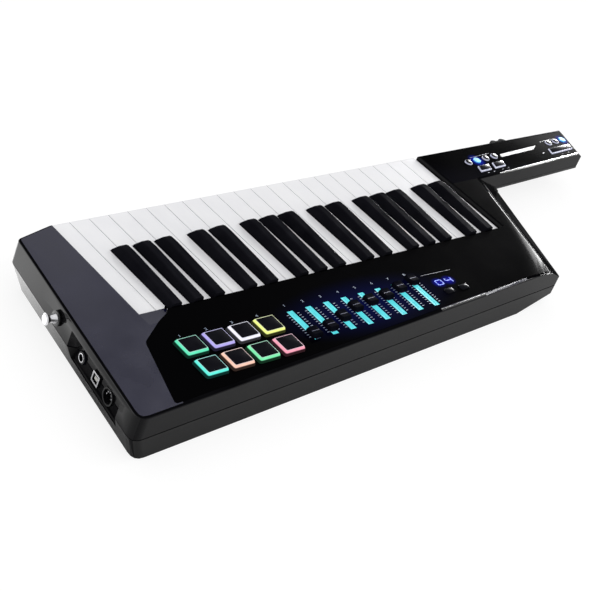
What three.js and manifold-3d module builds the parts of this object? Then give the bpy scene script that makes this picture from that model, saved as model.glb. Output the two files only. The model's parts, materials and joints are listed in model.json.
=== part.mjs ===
import * as THREE from 'three';
import Module from 'manifold-3d';
import { mergeVertices } from 'three/addons/utils/BufferGeometryUtils.js';

// A keytar lying on its back, in millimetres.
// While it is built, x runs along the keys from the cheek to the neck, y runs from the panel
// to the key fronts, and z is up. Zero is at the cheek end of the keys, at the panel edge,
// level with the white key tops. The last lines move the whole to stand centred on z = 0.

const wasm = await Module();
wasm.setup();

// Clearances shared by all pieces
const seamGap = 0.3;
const holeGap = 0.35;
const slideGap = 0.45;

// Keyboard
const whiteCount = 22;
const octaveCount = 3;
const whitesPerOctave = 7;
const whitePitch = 23.5;
const whiteSideGap = 1;
const whiteReach = 137.7;
const blackReach = 88;
const blackFootRun = 9;
const blackFootHeight = 1.6;
const blackFrontHeight = 11;
const blackRearHeight = 7;
const blackBaseDepth = 1.2;
const blackBaseWidth = 13.6;
const blackTopWidth = 9.6;
const blackCrown = 0.9;
const blackStemWidth = 8.4;
const blackSideClearance = 0.8;
const threeGroupLean = 3.1;
const twoGroupLean = 2.1;
const keyRearY = -36;
const keyRearDepth = 11.5;
const keyRearDrop = 1.6;
const keySkirtDepth = 14.5;
const keySkirtEndY = 126;
const keySkirtWall = 2;
const keyTopThickness = 2.6;
const keyLipDepth = 18;
const keyLipThickness = 2.7;
const keyNoseRadius = 2.2;
const keyPocketLength = 30;
const pivotY = -31;
const pivotZ = -7;
const pivotRadius = 2;
const pivotWallThickness = 2;
const pivotClearance = 0.4;
const pivotMouth = 3.4;

// Housing
const deckTop = 4.5;
const deckThickness = 1.8;
const wall = 2.8;
const edgeFillet = 2.2;
const partingZ = -20.5;
const bottomZ = -47.5;
const bayClearance = 1.2;
const panelEdgeY = -4.6;
const frontRailTopZ = -13.5;
const cheekWidth = 44.8;
const cheekSetback = 10.5;
const leftRake = 43.7;
const farWallY = 133.5;
const nearDepthLeft = 119.4;
const nearDepthRight = 83.4;
const rightReach = 21.8;
const rightRake = 69.5;
const nearCornerRadius = 12;
const cornerRadius = 4;

// Ledge between the cheek and the fascia, which falls towards the keys
const ledgeEdgeY = -1;
const ledgeRun = 17.8;
const ledgeDrop = 3;

// Neck
const neckReach = 281;
const neckTipRake = 17.5;
const neckTipRadius = 8;
const neckRootInset = 41.5;
const neckRootNearY = 75.8;
const neckTaper = 8.9;
const neckBottomZ = -21.5;
const neckBackRound = 5;
const neckPartingZ = -14;
const neckStepSetback = 6;
const neckStepReach = 8;

// Falling surfaces: the rolled deck edge and the facets beside it and at the neck tip
const rollWidth = 48;
const rollDrop = 5;
const facetSlopeShare = 0.53;
const creaseSetback = 20.5;
const tipFacetRun = 12;
const tipSlopeShare = 0.6;

// Slopes of the lower housing
const leftTuck = 13;
const nearTuck = 1.5;
const farTuck = 12;
const bevelRun = 50;
const bevelTopZ = -33;

// Fascia
const fasciaThickness = 1.6;
const fasciaEdge = 3;
const fasciaNearEdge = 3.6;
const fasciaShoulderX = 31.3;
const fasciaLeftRun = 77.6;
const fasciaCornerShares = [[0.666, 0.303], [0.263, 0.119], [0.068, 0.051]];

// Pads
const padColumns = 4;
const padRows = 2;
const padPitchX = 31.6;
const padPitchY = 28.2;
const padWidth = 26.6;
const padDepth = 22.8;
const padCorner = 2.4;
const padTaper = 2;
const padTopZ = 9;
const padTaperRise = 3.6;
const firstPadX = 16.7;
const farPadY = -57.3;

// Rubber mats and keypads under the deck
const matThickness = 1.2;
const matMargin = 3.4;
const neckMatMargin = 1.6;
const buttonProud = 1;

// Faders
const faderCount = 8;
const faderPitch = 24.35;
const firstFaderX = 150.3;
const slotFarY = -44.8;
const slotLength = 42.2;
const slotWidth = 8.2;
const faderTravel = 36;
const faderRestShares = [0.1, 0.19, 0.4, 0.6, 0.68, 0.72, 0.86, 1];
const stemWidth = 1.3;
const stemLength = 3;
const stemDepth = 1.6;
const capWidth = 11.6;
const capLength = 12;
const capHeight = 5.4;
const capTaper = 0.8;
const capScoopRadius = 14;
const capScoopDepth = 1.1;
const guideThickness = 1.5;
const guideSink = 0.3;
const faderBodyWidth = 9;

// Panel buttons and display
const panelButtonCount = 2;
const panelButtonWidth = 12.4;
const panelButtonDepth = 6.8;
const panelButtonPitch = 22.8;
const panelButtonCorner = 1;
const firstPanelButtonX = 353.3;
const panelButtonY = -73.5;
const displayX = 360;
const displayY = -58.8;
const displayWidth = 40;
const displayDepth = 13;

// Neck controls, measured along and across the neck from its inner near corner
const roundButtonRadius = 4.6;
const roundRowT = 30;
const innerRoundCount = 4;
const innerRoundS = 13;
const innerRoundPitch = 16.5;
const outerRoundCount = 3;
const outerRoundS = 174.5;
const outerRoundPitch = 14.8;
const barRowT = 10.2;
const barDepth = 9.6;
const barLength = 19.8;
const innerBarCount = 2;
const innerBarS = 14.2;
const innerBarPitch = 27.7;
const outerBarS = 157;
const outerBarLength = 44;
const slantShare = 0.43;
const ribbonS = 74;
const ribbonT = 26;
const ribbonLength = 64;
const ribbonWidth = 6.4;
const ribbonTipSlant = 14;
const ribbonThickness = 1.2;

// Pitch wheel
const wheelX = 681;
const wheelY = 119.5;
const wheelRadius = 25;
const wheelTopZ = -4.5;
const wheelThickness = 9;
const wheelSlotGap = 0.8;
const wheelBumpReach = 28.6;
const wheelBumpRadius = 7.5;
const wheelBumpSpread = 15.5;
const wheelPinRadius = 2;
const wheelBossRadius = 5;

// Strap buttons
const strapHeadRadius = 5.6;
const strapWaistRadius = 3.2;
const strapCollarRadius = 5;
const strapWasherRoom = 2.6;
const strapReach = 13.2;
const strapRimThickness = 2.4;
const strapShankRadius = 2;
const strapShankLength = 7;
const leftStrapY = 27.5;
const leftStrapZ = -10.5;
const neckStrapS = 64;
const neckStrapT = 27;

// Connector pocket, measured along the left wall
const pocketFarY = -1.5;
const pocketLength = 87;
const pocketTopZ = -4;
const pocketBottomZ = -33;
const pocketDepth = 9;
const pocketFlare = 6;
const socketZ = -22.5;
const socketProud = 1.6;
const socketBodyLength = 13;
const socketBodyMargin = 1.5;
const socketBoreDepth = 9;
const jackY = -13;
const jackRadius = 5.6;
const jackBore = 3.2;
const usbY = -41;
const usbWidth = 12;
const usbHeight = 11;
const usbRim = 1.6;
const dinY = -64;
const dinRadius = 8.4;
const dinRim = 1.4;

// Main board
const boardTopZ = -8;
const boardThickness = 1.6;
const boardFarY = -42;
const boardCheekY = 6;
const boardMargin = 6;
const boardRightX = 478;

// Battery bay and its door
const batteryX = 215;
const batteryY = -68;
const batteryLength = 72;
const batteryWidth = 52;
const batteryDepth = 17;
const doorThickness = 2.4;

// Key frame
const frameTopZ = -26;
const frameThickness = 2;
const frameMargin = 2;
const framePostY = 112;
const framePostLength = 5;
const framePostTopZ = -13.2;
const frameWindowCount = 11;
const frameWindowShare = 0.7;
const frameWindowNearY = -14;
const frameWindowFarY = 96;

// Bosses of the lower housing, placed as shares of what they carry
const bossRadius = 4;
const frameBossShares = [0.04, 0.5, 0.96];
const boardPostShares = [0.1, 0.34, 0.72, 0.97];

// How finely round forms are cut, and how far a cutting body overruns
const cornerSteps = 4;
const roundSides = 16;
const fineSides = 12;
const overrun = 5;
const farOverrun = 400;

const bayLeft = -bayClearance;
const bayRight = whiteCount * whitePitch + bayClearance;
const deckFloor = deckTop - fasciaThickness - seamGap - deckThickness;
const upVector = new THREE.Vector3(0, 0, 1);

// Geometry helpers

function solidOf(geometry) {
  const bare = geometry.clone();
  bare.deleteAttribute('normal');
  bare.deleteAttribute('uv');
  const merged = mergeVertices(bare);
  const vertProperties = new Float32Array(merged.attributes.position.array);
  const triVerts = new Uint32Array(merged.index.array);
  return new wasm.Manifold(new wasm.Mesh({ numProp: 3, vertProperties, triVerts }));
}

function geometryOf(solid) {
  const mesh = solid.getMesh();
  const geometry = new THREE.BufferGeometry();
  geometry.setAttribute('position', new THREE.BufferAttribute(mesh.vertProperties, 3));
  geometry.setIndex(new THREE.BufferAttribute(mesh.triVerts, 1));
  return geometry;
}

function joined(solids) {
  return solids.reduce((whole, piece) => whole.add(piece));
}

// A closed outline of corners [x, y, radius]; a corner without a radius stays sharp.
function outlineShape(corners) {
  const shape = new THREE.Shape();
  const count = corners.length;
  corners.forEach(([x, y, radius = 0], index) => {
    const corner = new THREE.Vector2(x, y);
    const [beforeX, beforeY] = corners[(index + count - 1) % count];
    const [afterX, afterY] = corners[(index + 1) % count];
    const start = new THREE.Vector2(beforeX, beforeY).sub(corner).setLength(radius).add(corner);
    const end = new THREE.Vector2(afterX, afterY).sub(corner).setLength(radius).add(corner);
    if (index === 0) shape.moveTo(start.x, start.y);
    else shape.lineTo(start.x, start.y);
    if (radius > 0) shape.quadraticCurveTo(x, y, end.x, end.y);
  });
  shape.closePath();
  return shape;
}

function block(xLow, xHigh, yLow, yHigh, zLow, zHigh) {
  const geometry = new THREE.BoxGeometry(xHigh - xLow, yHigh - yLow, zHigh - zLow);
  geometry.translate((xLow + xHigh) / 2, (yLow + yHigh) / 2, (zLow + zHigh) / 2);
  return solidOf(geometry);
}

function centredBlock(x, y, width, depth, low, high) {
  return block(x - width / 2, x + width / 2, y - depth / 2, y + depth / 2, low, high);
}

function prism(corners, low, high, steps = cornerSteps) {
  const settings = { depth: high - low, bevelEnabled: false, curveSegments: steps };
  const geometry = new THREE.ExtrudeGeometry(outlineShape(corners), settings);
  return solidOf(geometry.translate(0, 0, low));
}

// A prism whose upper edge, or lower edge, is rounded or bevelled by run and rise.
function edgedPrism(corners, low, high, run, rise, edgeSteps, flip = false, steps = cornerSteps) {
  const settings = {
    depth: high - low,
    bevelThickness: rise,
    bevelSize: run,
    bevelOffset: -run,
    bevelSegments: edgeSteps,
    curveSegments: steps,
  };
  const geometry = new THREE.ExtrudeGeometry(outlineShape(corners), settings);
  const lift = flip ? low + rise : low - rise;
  const solid = solidOf(geometry.translate(0, 0, lift));
  const { min, max } = solid.boundingBox();
  const cutLow = flip ? high : min[2] - overrun;
  const cutHigh = flip ? max[2] + overrun : low;
  return solid.subtract(block(min[0] - 1, max[0] + 1, min[1] - 1, max[1] + 1, cutLow, cutHigh));
}

function upright(x, y, radius, low, high, sides = roundSides) {
  const geometry = new THREE.CylinderGeometry(radius, radius, high - low, sides);
  geometry.rotateX(Math.PI / 2);
  return solidOf(geometry.translate(x, y, (low + high) / 2));
}

// A profile in the plane of `across` and `up`, carried square to both from the point `start`.
function carried(corners, start, across, up, length) {
  const settings = { depth: length, bevelEnabled: false, curveSegments: cornerSteps };
  const geometry = new THREE.ExtrudeGeometry(outlineShape(corners), settings);
  const along = across.clone().cross(up);
  const place = new THREE.Matrix4().makeBasis(across, up, along).setPosition(start);
  return solidOf(geometry.applyMatrix4(place));
}

// A profile of [y, z] corners carried along x.
function sideways(corners, xLow, xHigh) {
  const start = new THREE.Vector3(xLow, 0, 0);
  return carried(corners, start, new THREE.Vector3(0, 1, 0), upVector, xHigh - xLow);
}

function barAlongX(y, z, radius, xLow, xHigh, sides = fineSides) {
  const geometry = new THREE.CylinderGeometry(radius, radius, xHigh - xLow, sides);
  geometry.rotateZ(Math.PI / 2);
  return solidOf(geometry.translate((xLow + xHigh) / 2, y, z));
}

// A skin over convex rings of equal length, closed by a fan at each end. Each ring runs
// anticlockwise as seen from before the first ring.
function loft(rings) {
  const count = rings[0].length;
  const faces = [];
  for (let ring = 0; ring + 1 < rings.length; ring += 1) {
    for (let point = 0; point < count; point += 1) {
      const a = ring * count + point;
      const b = ring * count + ((point + 1) % count);
      faces.push([a, b + count, b], [a, a + count, b + count]);
    }
  }
  const last = (rings.length - 1) * count;
  for (let point = 1; point + 1 < count; point += 1) {
    faces.push([0, point, point + 1], [last, last + point + 1, last + point]);
  }
  const geometry = new THREE.BufferGeometry();
  const positions = new Float32Array(rings.flat(2));
  geometry.setAttribute('position', new THREE.BufferAttribute(positions, 3));
  geometry.setIndex(faces.flat());
  return solidOf(geometry);
}

// Corners of a clockwise outline moved inwards, each side by its own distance.
function insetCorners(corners, distances) {
  const count = corners.length;
  const sides = corners.map(([x, y], index) => {
    const [nextX, nextY] = corners[(index + 1) % count];
    const along = new THREE.Vector2(nextX - x, nextY - y).normalize();
    const inwards = new THREE.Vector2(along.y, -along.x);
    const start = new THREE.Vector2(x, y).addScaledVector(inwards, distances[index]);
    return { start, along };
  });
  return corners.map(([, , radius = 0], index) => {
    const before = sides[(index + count - 1) % count];
    const after = sides[index];
    const turn = before.along.cross(after.along);
    const reach = after.start.clone().sub(before.start).cross(after.along) / turn;
    const point = before.start.clone().addScaledVector(before.along, reach);
    return [point.x, point.y, radius];
  });
}

function insetEvenly(corners, distance) {
  return insetCorners(corners, corners.map(() => distance));
}

function roundedRectangle(x, y, width, depth, radius) {
  return [
    [x - width / 2, y - depth / 2, radius],
    [x - width / 2, y + depth / 2, radius],
    [x + width / 2, y + depth / 2, radius],
    [x + width / 2, y - depth / 2, radius],
  ];
}

// The housing in plan, clockwise from the far left corner

const leftX = bayLeft - cheekWidth;
const rightX = bayRight + rightReach;
const neckRootX = rightX + rightRake - neckRootInset;
const neckTipX = bayRight + neckReach;
const neckSlopeShare = neckTaper / (neckTipX - neckTipRake - neckRootX);

function neckNearY(x) {
  return neckRootNearY + (x - neckRootX) * neckSlopeShare;
}

function nearWallY(x) {
  const share = (x - leftX + leftRake) / (rightX - leftX + leftRake);
  return -nearDepthLeft + share * (nearDepthLeft - nearDepthRight);
}

const leftFar = [leftX, farWallY - cheekSetback, cornerRadius];
const cheekFar = [bayLeft, farWallY, cornerRadius];
const tipFar = [neckTipX, farWallY, neckTipRadius];
const tipNear = [neckTipX - neckTipRake, neckNearY(neckTipX - neckTipRake), cornerRadius];
const elbow = [rightX + rightRake, neckNearY(rightX + rightRake)];
const rightNear = [rightX, -nearDepthRight, cornerRadius];
const leftNear = [leftX - leftRake, -nearDepthLeft, nearCornerRadius];
const housingOutline = [leftFar, cheekFar, tipFar, tipNear, elbow, rightNear, leftNear];

const rakeAngle = Math.atan2(leftRake, leftFar[1] + nearDepthLeft);
const neckAngle = Math.atan(neckSlopeShare);

// Sets a solid made in the neck's own directions at the neck's inner near corner.
function onNeck(solid) {
  const degrees = THREE.MathUtils.radToDeg(neckAngle);
  return solid.rotate([0, 0, degrees]).translate([neckRootX, neckRootNearY, 0]);
}

// Leans a solid made along the plane x = 0 so that it follows the raked left wall.
function onLeftWall(solid) {
  const degrees = THREE.MathUtils.radToDeg(-rakeAngle);
  return solid.translate([0, -leftFar[1], 0]).rotate([0, 0, degrees]).translate([leftX, leftFar[1], 0]);
}

function leftWallX(y) {
  return leftX - (leftFar[1] - y) * Math.tan(rakeAngle);
}

// The space over the rolled deck edge and its facet, kept clear of the neck.
function rightCutter(drop, neckShift) {
  const creaseNear = new THREE.Vector3(rightX - creaseSetback, -nearDepthRight, deckTop - rollDrop - drop);
  const creaseFar = new THREE.Vector3(neckRootX, neckRootNearY, deckTop - drop);
  const reach = rollWidth + rightRake;
  const fall = reach * facetSlopeShare;
  const profile = new THREE.Shape();
  profile.moveTo(-reach, rollDrop);
  profile.lineTo(-rollWidth, rollDrop);
  profile.quadraticCurveTo(-rollWidth / 2, rollDrop, 0, 0);
  profile.lineTo(reach, -fall);
  profile.lineTo(reach, reach);
  profile.lineTo(-reach, reach);
  profile.closePath();
  const along = creaseNear.clone().sub(creaseFar).normalize();
  const across = upVector.clone().cross(along).normalize();
  const rise = along.clone().cross(across);
  const length = creaseFar.distanceTo(creaseNear) + 2 * reach;
  const settings = { depth: length, bevelEnabled: false, curveSegments: 2 * cornerSteps };
  const geometry = new THREE.ExtrudeGeometry(profile, settings);
  const start = creaseFar.clone().addScaledVector(along, -reach);
  const place = new THREE.Matrix4().makeBasis(across, rise, along).setPosition(start);
  const guardLeft = neckRootX - farOverrun;
  const guardRight = neckRootX + farOverrun;
  const guard = prism([
    [guardLeft, neckNearY(guardLeft) + neckShift],
    [guardLeft, farWallY + farOverrun],
    [guardRight, farWallY + farOverrun],
    [guardRight, neckNearY(guardRight) + neckShift],
  ], -farOverrun, farOverrun);
  return solidOf(geometry.applyMatrix4(place)).subtract(guard);
}

// The space over the facet that closes the neck tip.
function tipCutter(drop) {
  const nearEnd = new THREE.Vector3(tipNear[0], tipNear[1], deckTop - drop);
  const farEnd = new THREE.Vector3(tipFar[0], tipFar[1], deckTop - drop);
  const along = nearEnd.clone().sub(farEnd).normalize();
  const across = upVector.clone().cross(along).normalize();
  const reach = tipFacetRun + overrun;
  const corners = [
    [-tipFacetRun, 0],
    [reach, -(tipFacetRun + reach) * tipSlopeShare],
    [reach, reach],
    [-tipFacetRun, reach],
  ];
  const start = farEnd.clone().addScaledVector(along, -reach);
  const length = nearEnd.distanceTo(farEnd) + 2 * reach;
  return carried(corners, start, across, upVector, length);
}

// The room right of the step in the parting line, between two heights.
function neckRoom(gap, low, high) {
  const left = elbow[0] - neckStepSetback + gap;
  const near = elbow[1] - neckStepReach + gap;
  return block(left, left + farOverrun, near, farWallY + overrun, low, high);
}

// The upper half of the body as one full block, before it is hollowed.
const upperBlank = edgedPrism(housingOutline, partingZ, deckTop, edgeFillet, edgeFillet, 3)
  .subtract(rightCutter(0, 0))
  .subtract(tipCutter(0))
  .subtract(neckRoom(0, partingZ - overrun, neckPartingZ));

// Openings through the fascia and the deck

function padPlaces() {
  const places = [];
  for (let row = 0; row < padRows; row += 1) {
    for (let column = 0; column < padColumns; column += 1) {
      places.push([firstPadX + column * padPitchX, farPadY - row * padPitchY]);
    }
  }
  return places;
}

const faderPlaces = Array.from({ length: faderCount }, (_, index) => firstFaderX + index * faderPitch);
const slotMiddleY = slotFarY - slotLength / 2;

// A slanted bar button in the neck's own directions.
function slantedBar(s, length, grown) {
  const lean = barDepth * slantShare;
  return insetEvenly([
    [s, barRowT],
    [s + lean, barRowT + barDepth],
    [s + lean + length, barRowT + barDepth],
    [s + length, barRowT],
  ], -grown);
}

function ribbonOutline(grown) {
  return insetEvenly([
    [ribbonS, ribbonT],
    [ribbonS + ribbonWidth * slantShare, ribbonT + ribbonWidth],
    [ribbonS + ribbonLength + ribbonTipSlant, ribbonT + ribbonWidth],
    [ribbonS + ribbonLength, ribbonT],
  ], -grown);
}

const innerGroup = {
  rounds: Array.from({ length: innerRoundCount }, (_, index) => innerRoundS + index * innerRoundPitch),
  bars: Array.from({ length: innerBarCount }, (_, index) => innerBarS + index * innerBarPitch),
  barLength,
};
const outerGroup = {
  rounds: Array.from({ length: outerRoundCount }, (_, index) => outerRoundS + index * outerRoundPitch),
  bars: [outerBarS],
  barLength: outerBarLength,
};

// The buttons of one neck group as upright solids, each grown on all sides.
function neckButtons(group, grown, low, high) {
  const rounds = group.rounds.map((s) => upright(s, roundRowT, roundButtonRadius + grown, low, high));
  const bars = group.bars.map((s) => prism(slantedBar(s, group.barLength, grown), low, high));
  return onNeck(joined([...rounds, ...bars]));
}

function panelButtons(grown, low, high) {
  const buttons = [];
  for (let index = 0; index < panelButtonCount; index += 1) {
    const x = firstPanelButtonX + index * panelButtonPitch;
    const width = panelButtonWidth + 2 * grown;
    const depth = panelButtonDepth + 2 * grown;
    const corners = roundedRectangle(x, panelButtonY, width, depth, panelButtonCorner + grown);
    buttons.push(prism(corners, low, high, 2));
  }
  return joined(buttons);
}

function padSolids(grown, low, high, steps = 2) {
  return padPlaces().map(([x, y]) => {
    const corners = roundedRectangle(x, y, padWidth + 2 * grown, padDepth + 2 * grown, padCorner);
    if (grown > 0) return prism(corners, low, high, steps);
    return edgedPrism(corners, low, high, padTaper, padTaperRise, 1, false, steps);
  });
}

function deckOpenings() {
  const low = partingZ;
  const high = deckTop + overrun;
  const slots = faderPlaces.map((x) => centredBlock(x, slotMiddleY, slotWidth, slotLength, low, high));
  return joined([
    ...padSolids(holeGap, low, high),
    ...slots,
    panelButtons(holeGap, low, high),
    neckButtons(innerGroup, holeGap, low, high),
    neckButtons(outerGroup, holeGap, low, high),
  ]);
}

const openings = deckOpenings();

// Fascia: one glossy sheet let into the deck, which follows its rolled edge

function fasciaCorners() {
  const nearLeftX = fasciaShoulderX - fasciaLeftRun;
  const nearLeftY = nearWallY(nearLeftX) + fasciaNearEdge;
  const nearRightX = rightX - creaseSetback - fasciaEdge / 2;
  const elbowX = neckRootX - fasciaEdge;
  const distances = housingOutline.map((corner) => (corner === tipFar ? tipFacetRun + seamGap : fasciaEdge));
  const [, , tipFarInner, tipNearInner] = insetCorners(housingOutline, distances);
  const leftEdge = fasciaCornerShares.map(([xShare, yShare]) => [
    fasciaShoulderX - fasciaLeftRun * xShare,
    panelEdgeY + (nearLeftY - panelEdgeY) * yShare,
    cornerRadius,
  ]);
  return [
    [fasciaShoulderX, panelEdgeY],
    [bayRight + fasciaEdge, panelEdgeY],
    [bayRight + fasciaEdge, farWallY - fasciaEdge],
    [tipFarInner[0], tipFarInner[1]],
    [tipNearInner[0], tipNearInner[1]],
    [elbowX, neckNearY(elbowX) + fasciaEdge],
    [nearRightX, nearWallY(nearRightX) + fasciaNearEdge],
    [nearLeftX, nearLeftY, cornerRadius],
    ...leftEdge,
  ];
}

function fascia() {
  const sheet = prism(insetEvenly(fasciaCorners(), seamGap), partingZ, deckTop + overrun, 3);
  return sheet
    .intersect(upperBlank)
    .subtract(upperBlank.translate([0, 0, -fasciaThickness]))
    .subtract(openings)
    .subtract(onNeck(prism(ribbonOutline(holeGap), partingZ, deckTop + overrun)));
}

function fasciaRecess() {
  const room = prism(fasciaCorners(), partingZ, deckTop + overrun, 3);
  return room.subtract(upperBlank.translate([0, 0, -fasciaThickness - seamGap]));
}

// Connector pocket in the left wall; its back wall is pierced for the three sockets

function pocketPlan(grown) {
  const nearY = pocketFarY - pocketLength;
  return [
    [-overrun, pocketFarY + pocketFlare + grown],
    [pocketDepth + grown, pocketFarY + grown],
    [pocketDepth + grown, nearY - grown],
    [-overrun, nearY - pocketFlare - grown],
  ];
}

function pocket(grown) {
  return onLeftWall(prism(pocketPlan(grown), pocketBottomZ - grown, pocketTopZ + grown));
}

// A round or square plug of a socket, lying square to the left wall.
function socketPlug(y, width, height, isRound, xLow, xHigh) {
  if (!isRound) {
    return block(xLow, xHigh, y - width / 2, y + width / 2, socketZ - height / 2, socketZ + height / 2);
  }
  return barAlongX(y, socketZ, width / 2, xLow, xHigh, roundSides);
}

const sockets = [
  { y: jackY, width: 2 * jackRadius, height: 2 * jackRadius, isRound: true, bore: 2 * jackBore },
  { y: usbY, width: usbWidth, height: usbHeight, isRound: false, bore: usbWidth - 2 * usbRim },
  { y: dinY, width: 2 * dinRadius, height: 2 * dinRadius, isRound: true, bore: 2 * (dinRadius - dinRim) },
];

function socketHoles() {
  const holes = sockets.map(({ y, width, height, isRound }) => {
    const grown = 2 * holeGap;
    const deep = pocketDepth + wall + overrun;
    return socketPlug(y, width + grown, height + grown, isRound, pocketDepth - overrun, deep);
  });
  return onLeftWall(joined(holes));
}

function leftStrapHole() {
  return onLeftWall(barAlongX(leftStrapY, leftStrapZ, strapShankRadius + holeGap, -overrun, wall + overrun));
}

// The slot in which the pitch wheel turns
function wheelSlot() {
  const low = wheelTopZ - wheelThickness - wheelSlotGap;
  const high = wheelTopZ + wheelSlotGap;
  return upright(wheelX, wheelY, wheelBumpReach + wheelSlotGap, low, high, 2 * roundSides);
}

// Upper housing

function keyBay() {
  const high = deckTop + overrun;
  const railY = farWallY - wall;
  const beyond = farWallY + overrun;
  return joined([
    block(bayLeft, bayRight, ledgeEdgeY, railY, partingZ - overrun, high),
    block(bayLeft, bayRight, ledgeEdgeY, beyond, frontRailTopZ, high),
    block(fasciaShoulderX, bayRight, panelEdgeY, railY, partingZ - overrun, high),
    block(bayLeft, bayRight, panelEdgeY - overrun, railY, partingZ - overrun, deckFloor),
  ]);
}

function ledgeCut() {
  const top = deckTop + overrun;
  const corners = [
    [ledgeEdgeY - ledgeRun, deckTop],
    [ledgeEdgeY, deckTop - ledgeDrop],
    [ledgeEdgeY + overrun, deckTop - ledgeDrop],
    [ledgeEdgeY + overrun, top],
    [ledgeEdgeY - ledgeRun, top],
  ];
  return sideways(corners, bayLeft, fasciaShoulderX)
    .subtract(prism(insetEvenly(fasciaCorners(), -seamGap), partingZ, top));
}

function topShell() {
  const drop = deckTop - deckFloor;
  const bayWalls = block(
    bayLeft - wall,
    bayRight + wall,
    panelEdgeY,
    farWallY + overrun,
    partingZ - farOverrun,
    deckTop,
  );
  const cavity = prism(insetEvenly(housingOutline, wall), partingZ - overrun, deckFloor)
    .subtract(rightCutter(drop, wall))
    .subtract(tipCutter(drop))
    .subtract(bayWalls)
    .subtract(pocket(wall));
  const display = centredBlock(displayX, displayY, displayWidth, displayDepth, partingZ, deckTop);
  return upperBlank
    .subtract(cavity)
    .subtract(keyBay())
    .subtract(ledgeCut())
    .subtract(pocket(0))
    .subtract(socketHoles())
    .subtract(leftStrapHole())
    .subtract(fasciaRecess())
    .subtract(openings)
    .subtract(display)
    .subtract(wheelSlot());
}

// Lower housing

// Removes what lies outside a wall that is upright at the top and slopes inwards below.
function slopeCutter(from, to, run, highZ, lowZ) {
  const start = new THREE.Vector3(to[0], to[1], 0);
  const end = new THREE.Vector3(from[0], from[1], 0);
  const along = end.clone().sub(start).normalize();
  const across = upVector.clone().cross(along).normalize();
  const deep = lowZ - farOverrun;
  const outside = -farOverrun;
  const slide = run * (farOverrun / (highZ - lowZ));
  const corners = [
    [outside, farOverrun],
    [0, farOverrun],
    [0, highZ],
    [run + slide, deep],
    [outside, deep],
  ];
  const length = start.distanceTo(end) + 2 * farOverrun;
  return carried(corners, start.addScaledVector(along, -farOverrun), across, upVector, length);
}

// The space inside the walls that slope inwards to the bottom, round at the same corners.
function slopedRoom(inset, top) {
  const right = rightX + farOverrun;
  const corners = [leftFar, cheekFar, [right, farWallY], [right, nearWallY(right)], leftNear];
  const tucks = [farTuck, farTuck, 0, nearTuck, leftTuck];
  const ring = (z, share) => {
    const shape = outlineShape(insetCorners(corners, tucks.map((tuck) => inset + share * tuck)));
    const points = shape.getPoints(cornerSteps).map(({ x, y }) => [x, y, z]);
    return points.slice(1);
  };
  return loft([ring(bottomZ, 1), ring(partingZ, 0), ring(top + overrun, 0)]);
}

// The outer form of the lower housing, or the same form drawn in by a wall.
function lowerForm(inset, top) {
  const outline = insetEvenly(housingOutline, inset);
  const [, , tipOuter, tipInner, elbowCorner, right] = outline;
  const slopeShare = (right[0] - elbowCorner[0]) / (right[1] - elbowCorner[1]);
  const bevelEnd = [elbowCorner[0] + farOverrun * slopeShare, elbowCorner[1] + farOverrun];
  const bevelTop = bevelTopZ + inset;
  const bevelLow = bottomZ + inset;
  const body = prism(outline, bevelLow, top)
    .intersect(slopedRoom(inset, top))
    .subtract(slopeCutter(bevelEnd, right, bevelRun, bevelTop, bevelLow));
  const neckLow = neckBottomZ + inset;
  const neckOutline = [
    [neckRootX, farWallY - inset],
    [tipOuter[0], tipOuter[1]],
    [tipInner[0], tipInner[1]],
    [neckRootX, neckNearY(neckRootX) + inset],
  ];
  const round = neckBackRound - inset;
  const neck = edgedPrism(neckOutline, neckLow, top, round, round, 3, true)
    .intersect(prism(outline, neckLow, top));
  return joined([body, neck]);
}

function batteryRoom(grown) {
  const length = batteryLength + 2 * grown;
  const width = batteryWidth + 2 * grown;
  return centredBlock(batteryX, batteryY, length, width, bottomZ - overrun, bottomZ + batteryDepth + grown);
}

const frameLowX = bayLeft + frameMargin;
const frameHighX = bayRight - frameMargin;
const frameLowY = keyRearY;
const frameHighY = framePostY + framePostLength + frameMargin;

// Bosses under the key frame and posts under the main board.
function lowerBosses() {
  const frameSeat = frameTopZ - frameThickness - seamGap;
  const boardSeat = boardTopZ - boardThickness - seamGap;
  const rows = [frameLowY + bossRadius + frameMargin, frameHighY - bossRadius - frameMargin];
  const frameBosses = rows.flatMap((y) => frameBossShares.map((share) => {
    const x = frameLowX + share * (frameHighX - frameLowX);
    return upright(x, y, bossRadius, bottomZ + seamGap, frameSeat, fineSides);
  }));
  const boardPosts = boardPostShares.map((share) => {
    const x = share * boardRightX;
    const y = (slotMiddleY + slotFarY) / 2;
    return upright(x, y, bossRadius, bottomZ + seamGap, boardSeat, fineSides);
  });
  return joined([...frameBosses, ...boardPosts]);
}

function bottomShell() {
  const top = partingZ - seamGap;
  const neckTop = neckPartingZ - seamGap;
  const neckFloor = neckBottomZ + wall;
  const aboveSeam = block(-farOverrun, 2 * farOverrun, -farOverrun, farOverrun, top, neckTop + 1)
    .subtract(neckRoom(seamGap, top, neckTop + 1));
  const cavity = lowerForm(wall, neckTop + overrun)
    .subtract(pocket(wall))
    .subtract(batteryRoom(wall));
  const wheelSeat = wheelTopZ - wheelThickness - seamGap;
  const wheelBoss = upright(wheelX, wheelY, wheelBossRadius, neckFloor - seamGap, wheelSeat)
    .add(upright(wheelX, wheelY, wheelPinRadius, neckFloor, wheelTopZ + seamGap));
  const strapHole = onNeck(upright(
    neckStrapS,
    neckStrapT,
    strapShankRadius + holeGap,
    bottomZ,
    neckFloor + overrun,
    fineSides,
  ));
  return lowerForm(0, neckTop)
    .subtract(aboveSeam)
    .subtract(cavity)
    .subtract(pocket(0))
    .subtract(socketHoles())
    .subtract(batteryRoom(0))
    .subtract(strapHole)
    .subtract(wheelSlot())
    .add(lowerBosses())
    .add(wheelBoss);
}

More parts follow.
